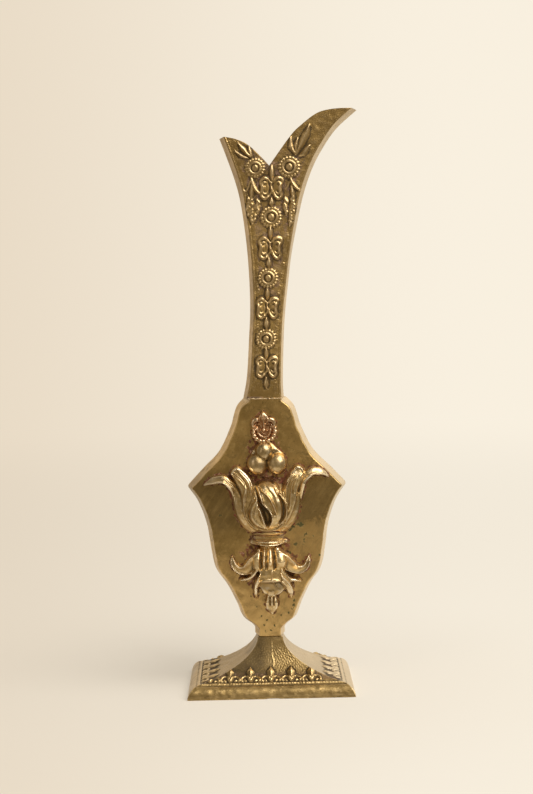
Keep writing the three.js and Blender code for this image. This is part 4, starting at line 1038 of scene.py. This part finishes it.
    # Bunches of small leaves down both edges
    rng = np.random.default_rng(36)
    for path, widths, lumps in (
            ([(-5.9, 254.4), (-5.2, 250.5), (-4.6, 246.5), (-4.6, 242.6)], [1.2, 2.7, 2.5, 1], 26),
            ([(-1.9, 253.4), (-1.5, 250.5), (-2, 247.6)], [0.8, 1.2, 0.6], 7),
            ([(16.4, 255.2), (15.9, 250.5), (15.2, 246), (14.6, 241.2)], [0.9, 1.5, 1.4, 0.6], 18),
            ([(12.9, 254), (12.3, 250.6), (12.7, 246.6)], [0.9, 1.3, 0.7], 10)):
        f.leaf(path, widths, [0.3, 0.4, 0.4, 0.3], crown=0.15, over=False)
        for k, (x, z) in enumerate(spline(path, lumps)):
            x += along(k / (lumps - 1), widths) * rng.uniform(-0.85, 0.85)
            lean = rng.uniform(-0.9, 0.9)
            f.leaf([(x - 0.4 * lean, z + 1), (x, z), (x + 0.3 * lean, z - 1.1)],
                   [0.35, 0.75, 0.2], [0.5, 0.65, 0.45], crown=[0.2, 0.45, 0.1], over=False, count=8)
    # Short strokes along the edges of the slim part, between the bows
    rng = np.random.default_rng(34)
    for z in np.arange(160, 238, 1.3):
        if min(abs(z - middle) for _, middle, _ in BOWS) > 5.6:
            for line, side in ((left_face, 1), (right_face, -1)):
                x = float(x_at(line, z)) + side * rng.uniform(1.5, 2.4)
                f.ridge([(x, z), (x + side * 1.2, z + rng.uniform(-0.2, 0.9))], 0.32,
                        rng.uniform(0.05, 0.35), count=5)
    raised = ramp(blur(f.h, f.step, 0.3), 0.12, 0.5)
    ground = 0.06 * np.tanh(1.4 * f.noise(0.95, 31, 0.45)) + 0.04 * f.noise(4.5, 32, 0.5)
    calm = 1 - 0.75 * ramp(f.z, 158.5, 155.5)
    f.h = blur(f.h, f.step, 0.14) + ground * calm * (1 - 0.7 * raised)
    # A plain margin with a thin raised line along each side
    left, right = f.x - x_at(left_face, f.z), x_at(right_face, f.z) - f.x
    for away in (left, right):
        f.h += 0.15 * bell(away - 0.75, 0.28)
        f.h -= 0.1 * bell(away - 1.35, 0.35)
    patches = ramp(f.noise(6, 33, 0.6), -1.2, 1.4)
    middle = ramp(np.minimum(left, right), 1.5, 4) * ramp(f.z, 160, 175) * ramp(f.z, 288, 272)
    specks = f.noise(0.7, 35, 0.5)
    f.stain = (1 - raised) * middle * np.clip(0.2 + 0.45 * patches + 0.4 * specks, 0, 1) * ramp(f.z, 165, 215)
    f.stain = np.maximum(f.stain, 0.9 * bell(f.z - 152.6, 0.9) * ramp(f.x, 2, -4))
    return f


def build_neck():
    left_face, right_face = neck_faces()
    centre = np.array([(0.4, NECK_FOOT), (1.0, 183), (2.7, 214), (4.3, 245), NOTCH])
    low = np.arange(NECK_FOOT, NOTCH[1] - 0.1, 0.32)
    sides = []
    for line, face, mouth, horn, count in (
            (NECK_LEFT_LINE, left_face, MOUTH_LEFT_LINE, LEFT_HORN, 50),
            (NECK_RIGHT_LINE, right_face, MOUTH_RIGHT_LINE, RIGHT_HORN, 96)):
        z = np.concatenate([low, np.linspace(NOTCH[1], horn[1] - 0.02, count)])
        end = np.where(z <= NOTCH[1], x_at(centre, z), x_at(mouth, z))
        sides.append((z, x_at(line, z), x_at(face, z), end))
    # The right band gets a painted sheen
    front = half_shell("neck_front", "neck_brass", sides, neck_relief(left_face, right_face), plate=1.8,
                       wall=1.8, columns=(34, 44), pale=(0.0, 0.5), mouth_row=len(low))
    turned_copy(front, "neck_back", ACROSS_SEAM)


build_neck()


# Foot: four sides, each with a bevelled rim, a bead line, a border of leaves and scrolls and a
# concave skirt with a worm-like ground

LEAF_PITCH = 10.45
# About how wide the lowest cells of a side are, and how far below the bevel's top the rim is worn
CELL, WORN_RUN = 0.36, 7.4
RIM_WALL, SKIRT_WALL = 4.2, 3
# The hollow under the foot: its ceiling, its least half depth and the columns of each side
HOLLOW_TOP, HOLLOW_LEAST, HOLLOW_COLUMNS = FOOT_HEIGHT - 9.5, 6.2, 7


def skirt_height(t):
    """The skirt's height where it has come in by a share t of the way to the top"""
    return RIM_HEIGHT + SLOPE_RISE * t + (FOOT_HEIGHT - RIM_HEIGHT - SLOPE_RISE) * (1 - math.sqrt(1 - t * t))


def foot_rows():
    """Rows of a side, as the share t, the extra inset and the height, and the skirt's first row"""
    rows = [(0, 0, 0), (0, 0, 0.35), (0, 0, RIM_FOOT)]
    bevel = [(0, 0), (0.1, 0.24), (0.22, 0.45), (0.4, 0.66), (0.6, 0.82), (0.8, 0.93), (1, 1)]
    curve = spline([(RIM_INSET * a, RIM_FOOT + b * (RIM_HEIGHT - RIM_FOOT)) for a, b in bevel], 24)
    rows += [(0, inset, z) for inset, z in curve[1:]]
    first = len(rows)
    rows += [(t, RIM_INSET, skirt_height(t)) for t in np.sin(np.linspace(0, math.pi / 2, 96))[1:]]
    return np.array(rows), first


def foot_relief(length, wide, seed, leaf_shift):
    """The relief of one side, 0 at the top of the bevel; wide is for the front and the back"""
    half = length / 2
    f = Relief((-half, half), (-9, 44), 0.22)

    def line(z, half_width, height):
        f.ridge([(-half, z), (half, z)], half_width, height, taper=False, smooth=False)

    # The bead line, and above it the border of leaves, each between two scrolls
    line(0.5, 0.62, 0.42)
    rng = np.random.default_rng(seed)
    count = int((length - 2 * RIM_INSET - 4) / LEAF_PITCH)
    for k in range(count):
        x = (k - (count - 1) / 2) * LEAF_PITCH + leaf_shift
        if abs(x) > half - 7:
            continue
        f.leaf([(x, 2.2), (x, 5), (x, 7.6), (x, 11)], [0.9, 1.7, 2.2, 0.15], [0.3, 0.5, 0.6, 0.3],
               crown=0.2, peak=0.9, over=False)
        for side in (-1, 1):
            c = x + side * 2.7
            scroll = [(x + side * 0.9, 2.6), (x + side * 1.5, 4.2), (c, 5.1), (c + side * 1.6, 4.2),
                      (c + side * 1.9, 2.6), (c + side * 1.3, 1.5)]
            f.ridge(scroll, 0.85, 0.95)
            f.ridge([(c - side * 0.3, 1.7), (c + side * 0.1, 2.9), (c + side * 0.7, 2.2)], 0.6, 0.7, count=12)
    for x in np.arange(-half + 4, half - 4, 1.5):
        f.dome(x + rng.uniform(-0.3, 0.3), 0.45, 0.52, rng.uniform(0, 0.16), base=0.35)
    line(1.35, 0.35, -0.3)
    line(-1.1, 0.4, -0.22)
    raised = ramp(f.h, 0.08, 0.4)
    # The skirt's ground, calmer towards the top
    worms = np.tanh(2.2 * f.noise(1.25, seed + 1, 0.3))
    fine = np.tanh(1.4 * f.noise(1.0, seed + 2, 0.3))
    if wide:
        strength, calm = 0.025 + 0.03 * ramp(f.x, -9, 8), 1 - 0.5 * ramp(f.z, 19, 26)
    else:
        strength, calm = 0.07, 1 - 0.75 * ramp(f.z, 24, 34)
    on_skirt = ramp(f.z, 1.6, 3.2)
    f.h += on_skirt * (1 - 0.85 * raised) * (strength * worms + 0.03 * fine) * calm
    f.h += (1 - on_skirt) * (0.03 * f.noise(5, seed + 3, 0.5))
    if wide:
        # A casting line up the middle
        f.ridge([(0.9, 10), (1.5, 14), (0.6, 17.5), (0.8, 21), (0.6, 26)], 0.4, [0.1, 0.3, 0.25, 0.35, 0.1])
    else:
        f.h *= 0.7
    f.h = blur(f.h, f.step, 0.1)
    f.stain = (1 - 0.6 * raised) * ramp(f.z, 1.5, 3) * ramp(12 - f.z, 0, 6) * 0.5
    return f


def build_foot():
    rows, first = foot_rows()
    t, inset, z = rows.T
    rings = [(FOOT_HALF_X - RIM_WALL, FOOT_HALF_Y - RIM_WALL, level) for level in (0.0, 1.2)]
    for share in (0, 0.2, 0.4, 0.6, 0.75, 0.86):
        half_x = FOOT_HALF_X - RIM_INSET - SKIRT_WALL + (TOP_HALF_X - FOOT_HALF_X + RIM_INSET) * share
        half_y = FOOT_HALF_Y - RIM_INSET - SKIRT_WALL + (TOP_HALF_Y - FOOT_HALF_Y + RIM_INSET) * share
        rings.append((half_x, max(half_y, HOLLOW_LEAST), min(skirt_height(share) - SKIRT_WALL, HOLLOW_TOP)))
    rings = np.array(rings)
    sheets = Sheets()
    for turn in range(4):
        # The front and back lie along x, the two others along y
        wide = turn % 2 == 0
        order = 1 if wide else -1
        half_w, half_d = (FOOT_HALF_X, FOOT_HALF_Y)[::order]
        top_w, top_d = (TOP_HALF_X, TOP_HALF_Y)[::order]
        c, s = ((1, 0), (0, 1), (-1, 0), (0, -1))[turn]

        def turned(x, depth, height):
            """Points of a front side, turned to where this side is"""
            return np.stack(np.broadcast_arrays(c * x + s * depth, s * x - c * depth, height), -1)

        f = foot_relief(2 * half_w, wide, 40 + 5 * turn, -5.4 if turn == 0 else 0.8)
        w = half_w - inset + (top_w - (half_w - RIM_INSET)) * t
        d = half_d - inset + (top_d - (half_d - RIM_INSET)) * t
        run = np.concatenate([[0], np.cumsum(np.hypot(np.diff(d), np.diff(z)))])
        run = (run - run[first])[:, None]
        slope = np.stack([np.gradient(d), np.gradient(z)], 1)
        slope /= np.linalg.norm(slope, axis=1)[:, None]
        x = w[:, None] * np.linspace(-1, 1, 2 * round(half_w / CELL) + 1)
        run = np.repeat(run, x.shape[1], 1)
        from_hip = w[:, None] - np.abs(x)
        carved = f.sample(f.h, x, run)
        h = carved * (ramp(from_hip, 0.1, 1.1) * ramp(z, 0.2, 1.2)[:, None])
        depth, height = d[:, None] + h * slope[:, 1:], z[:, None] - h * slope[:, :1]
        if wide:
            # A shallow chip in the lower edge
            height += 0.4 * np.exp(-((x - 1.0) / 3.4) ** 4) * ramp(1.0 - z, 0, 1)[:, None]
        fields = {key: f.sample(field, x, run) for key, field in f.fields(0.8, 0.25).items()}
        # A dark patina over the skirt; on the front it darkens further towards the left, a painted shade
        patina_and_shade = 0.62 * (1 - 0.7 * ramp(x, -8, 9)) if turn == 0 else 0.3
        patina_and_shade = patina_and_shade * ramp(run, 1.5, 4) * (1 - fields["wear"])
        if not wide:
            hollows = 0.72 * ramp(run, 1.5, 2.5) * ramp(run, 12, 9) * ramp(carved, 0.3, 0.1)
            patina_and_shade = np.maximum(patina_and_shade, hollows)
        fields["grime"] = np.maximum(fields["grime"], patina_and_shade)
        edges = np.maximum(bell(from_hip, 0.55), bell(run + WORN_RUN, 0.5)) * 0.7
        fields["wear"] = np.maximum(fields["wear"], edges)
        # A painted sheen, strong on the right side and weak on the left side
        outside = sheets.add(turned(x, depth, height), pale=(0, 0.75, 0, 0.2)[turn], **fields)
        ring_w, ring_d = rings[:, :2].T[::order]
        ring_x = np.linspace(-ring_w, ring_w, HOLLOW_COLUMNS, axis=1)
        # The hollow's walls: grime with a painted shade
        inside = sheets.add(turned(ring_x, ring_d[:, None], rings[:, 2:]), inward=True, grime=0.5, stain=0.1)
        sheets.join(inside[0], outside[0])
        # Flat top and the hollow's ceiling, as fans round their middles
        for row, level in ((outside[-1], FOOT_HEIGHT), (inside[-1, ::-1], HOLLOW_TOP)):
            middle = sheets.add(np.array([[[0, 0, level]]]), grime=0.4).item()
            sheets.faces += [(a, b, middle) for a, b in zip(row[:-1].tolist(), row[1:].tolist())]
    sheets.finish("foot", "foot_brass")


build_foot()


# Solder ridge round the foot of the neck

def solder_ridge():
    outline = [(-8.9, -11.1), (0, -11.1), (8.3, -11.1), (9.9, 0), (8.3, 11.1), (0, 11.1), (-8.9, 11.1),
               (-11.1, 0)]
    count, sides = 240, 10
    path = evenly(np.array(outline + outline[:1]), count, closed=True)
    out = path - path.mean(0)
    out /= np.linalg.norm(out, axis=1)[:, None]
    wobble = noise((count, 8), 0.35, 2.2, 51, 0.5)[:, 0]
    verts = []
    for (x, y), (out_x, out_y), rough in zip(path, out, wobble):
        radius = 0.34 + 0.05 * rough
        for k in range(sides):
            turn = 2 * math.pi * k / sides
            reach = radius * math.cos(turn)
            verts.append((x + out_x * reach, y + out_y * reach,
                          JOINT + 0.1 + 0.05 * rough + radius * math.sin(turn)))
    # Both ways round, the grid closes on itself
    index = np.pad(np.arange(count * sides).reshape(count, sides), ((0, 1), (0, 1)), "wrap")
    red = np.repeat(np.clip(wobble - 0.6, 0, 1), sides)
    finish_mesh("joint_solder", verts, quads(index), {"stain": red, "pale": 0.7 * (1 - red)}, "neck_brass")


solder_ridge()

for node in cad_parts.values():
    if not node.hide_render:
        node.data.materials.clear()
        node.data.materials.append(materials["hardware_brass"])


# Floor, light and camera

LEFT_TONE, RIGHT_TONE = (0.80, 0.69, 0.545), (0.945, 0.870, 0.740)
FLOOR = (0.93, 0.89, 0.82)
ROOM_LOW, ROOM_LEFT, ROOM_HIGH = (0.235, 0.192, 0.123), (0.14, 0.11, 0.067), (0.44, 0.375, 0.28)


def backdrop_colour(tree, direction):
    """The warm backdrop, a little lighter to the right"""
    unit = tree.add("VectorMath", {0: direction}, operation="NORMALIZE")
    return tree.mixed(tree.scaled(tree.parts(unit)[0], -0.26, 0.16), LEFT_TONE, RIGHT_TONE)


def seen_directly(tree):
    """1 for what the camera, a reflection or glass shows, 0 for light on the object"""
    path = tree.nodes.new("ShaderNodeLightPath")
    camera, glossy, glass = (path.outputs[f"Is {ray} Ray"] for ray in ("Camera", "Glossy", "Transmission"))
    return tree.maths("MAXIMUM", tree.maths("MAXIMUM", camera, glossy), glass)


def make_floor():
    """A wide disc that keeps the vase's shadow near it and turns into the backdrop far off"""
    bpy.ops.mesh.primitive_circle_add(vertices=96, radius=9, fill_type="NGON")
    floor = bpy.context.object
    floor.name = "floor"
    material = bpy.data.materials.new("floor")
    tree = Tree(material)
    shader = tree.nodes["Principled BSDF"]
    for key, value in (("Base Color", FLOOR), ("Roughness", 0.9), ("Specular IOR Level", 0.1)):
        tree.put(shader.inputs[key], value)
    place = tree.add("TexCoord", output="Object")
    length = tree.add("VectorMath", {0: place}, "Value", operation="LENGTH")
    far, close = tree.scaled(length, 0.15, 1.6, 0.74, 1.0), tree.scaled(length, 0.03, 0.22, 0.5, 1.0)
    share = tree.maths("MULTIPLY", tree.maths("MULTIPLY", far, close), seen_directly(tree))
    # The way from the camera to each point of the floor, seen from above
    ahead = tree.add("VectorMath", {0: place, 1: (0.005, 0.77, 0)}, operation="ADD")
    glow = tree.add("Emission", {"Color": backdrop_colour(tree, ahead)})
    mix = tree.add("MixShader", {0: share, 1: shader.outputs[0], 2: glow})
    tree.put(tree.nodes["Material Output"].inputs["Surface"], mix)
    floor.data.materials.append(material)


def make_world():
    """The backdrop, at full strength where it is seen and dimmer as a light"""
    world = bpy.data.worlds.new("world")
    bpy.context.scene.world = world
    tree = Tree(world)
    back = tree.nodes["Background"]
    tree.put(back.inputs["Color"], backdrop_colour(tree, tree.add("TexCoord", output="Generated")))
    tree.put(back.inputs["Strength"], tree.add("MapRange", {0: seen_directly(tree), 3: 0.36, 4: 1.0}))


def area_light(name, location, target, size, power, colour):
    light = bpy.data.lights.new(name, "AREA")
    light.shape = "RECTANGLE"
    light.size, light.size_y = size
    light.energy = power
    light.color = colour
    obj = bpy.data.objects.new(name, light)
    obj.location = location
    aim = Vector(target) - Vector(location)
    obj.rotation_euler = aim.to_track_quat("-Z", "Y").to_euler()
    bpy.context.scene.collection.objects.link(obj)


def dark_room():
    """The dim room round the camera, seen only in the metal: it leaves the floor near the vase bright"""
    profile = [(0.17, 0.004), (2.3, 0.004), (2.3, 1.2), (2.3, 2.4), (1.2, 2.4), (0.05, 2.4)]
    turns = np.radians(np.linspace(-118, 104, 38))
    verts = [(r * math.sin(a), -r * math.cos(a), z) for r, z in profile for a in turns]
    mesh = bpy.data.meshes.new("dark_room")
    mesh.from_pydata(verts, [], quads(np.arange(len(verts)).reshape(len(profile), -1)))
    material = bpy.data.materials.new("dark_room")
    tree = Tree(material)
    tree.nodes.remove(tree.nodes["Principled BSDF"])
    across, _, height = tree.parts(tree.add("TexCoord", output="Object"))
    above = tree.mixed(tree.scaled(across, -0.3, 0.3), ROOM_LEFT, ROOM_HIGH)
    tone = tree.mixed(tree.add("MapRange", {0: height, 2: 2.3}), ROOM_LOW, above)
    glow = tree.add("Emission", {"Color": tone})
    tree.put(tree.nodes["Material Output"].inputs["Surface"], glow)
    material.cycles.emission_sampling = "NONE"
    mesh.materials.append(material)
    room = bpy.data.objects.new("dark_room", mesh)
    bpy.context.scene.collection.objects.link(room)
    room.visible_camera = room.visible_shadow = room.visible_diffuse = False


def make_camera():
    """The camera that was fitted to the photo"""
    yaw, pitch, roll = math.radians(0.4241), math.radians(4.0369), math.radians(1.2)
    ahead = Vector((math.sin(yaw) * math.cos(pitch), math.cos(yaw) * math.cos(pitch), -math.sin(pitch)))
    level = Vector((math.cos(yaw), -math.sin(yaw), 0))
    above = level.cross(ahead)
    right = math.cos(roll) * level - math.sin(roll) * above
    up = math.sin(roll) * level + math.cos(roll) * above
    camera = bpy.data.objects.new("camera", bpy.data.cameras.new("camera"))
    camera.data.lens = 67.22
    camera.data.sensor_width = 36
    camera.data.clip_start = 0.02
    turn = Matrix((right, up, -ahead)).transposed().to_4x4()
    place = Vector(((AXIS_X - 4.977) * MM, -773.322 * MM, 206.701 * MM))
    camera.matrix_world = Matrix.Translation(place) @ turn
    bpy.context.scene.collection.objects.link(camera)
    bpy.context.scene.camera = camera


make_floor()
make_world()
dark_room()
area_light("key", (1.0, -0.80, 1.50), (0, 0, 0.15), (1.6, 1.6), 34, (1.0, 0.96, 0.89))
area_light("fill", (-1.15, -0.92, 0.62), (0, 0, 0.15), (0.42, 1.3), 1.7, (1.0, 0.93, 0.85))
make_camera()
bpy.context.scene.view_settings.view_transform = "Standard"
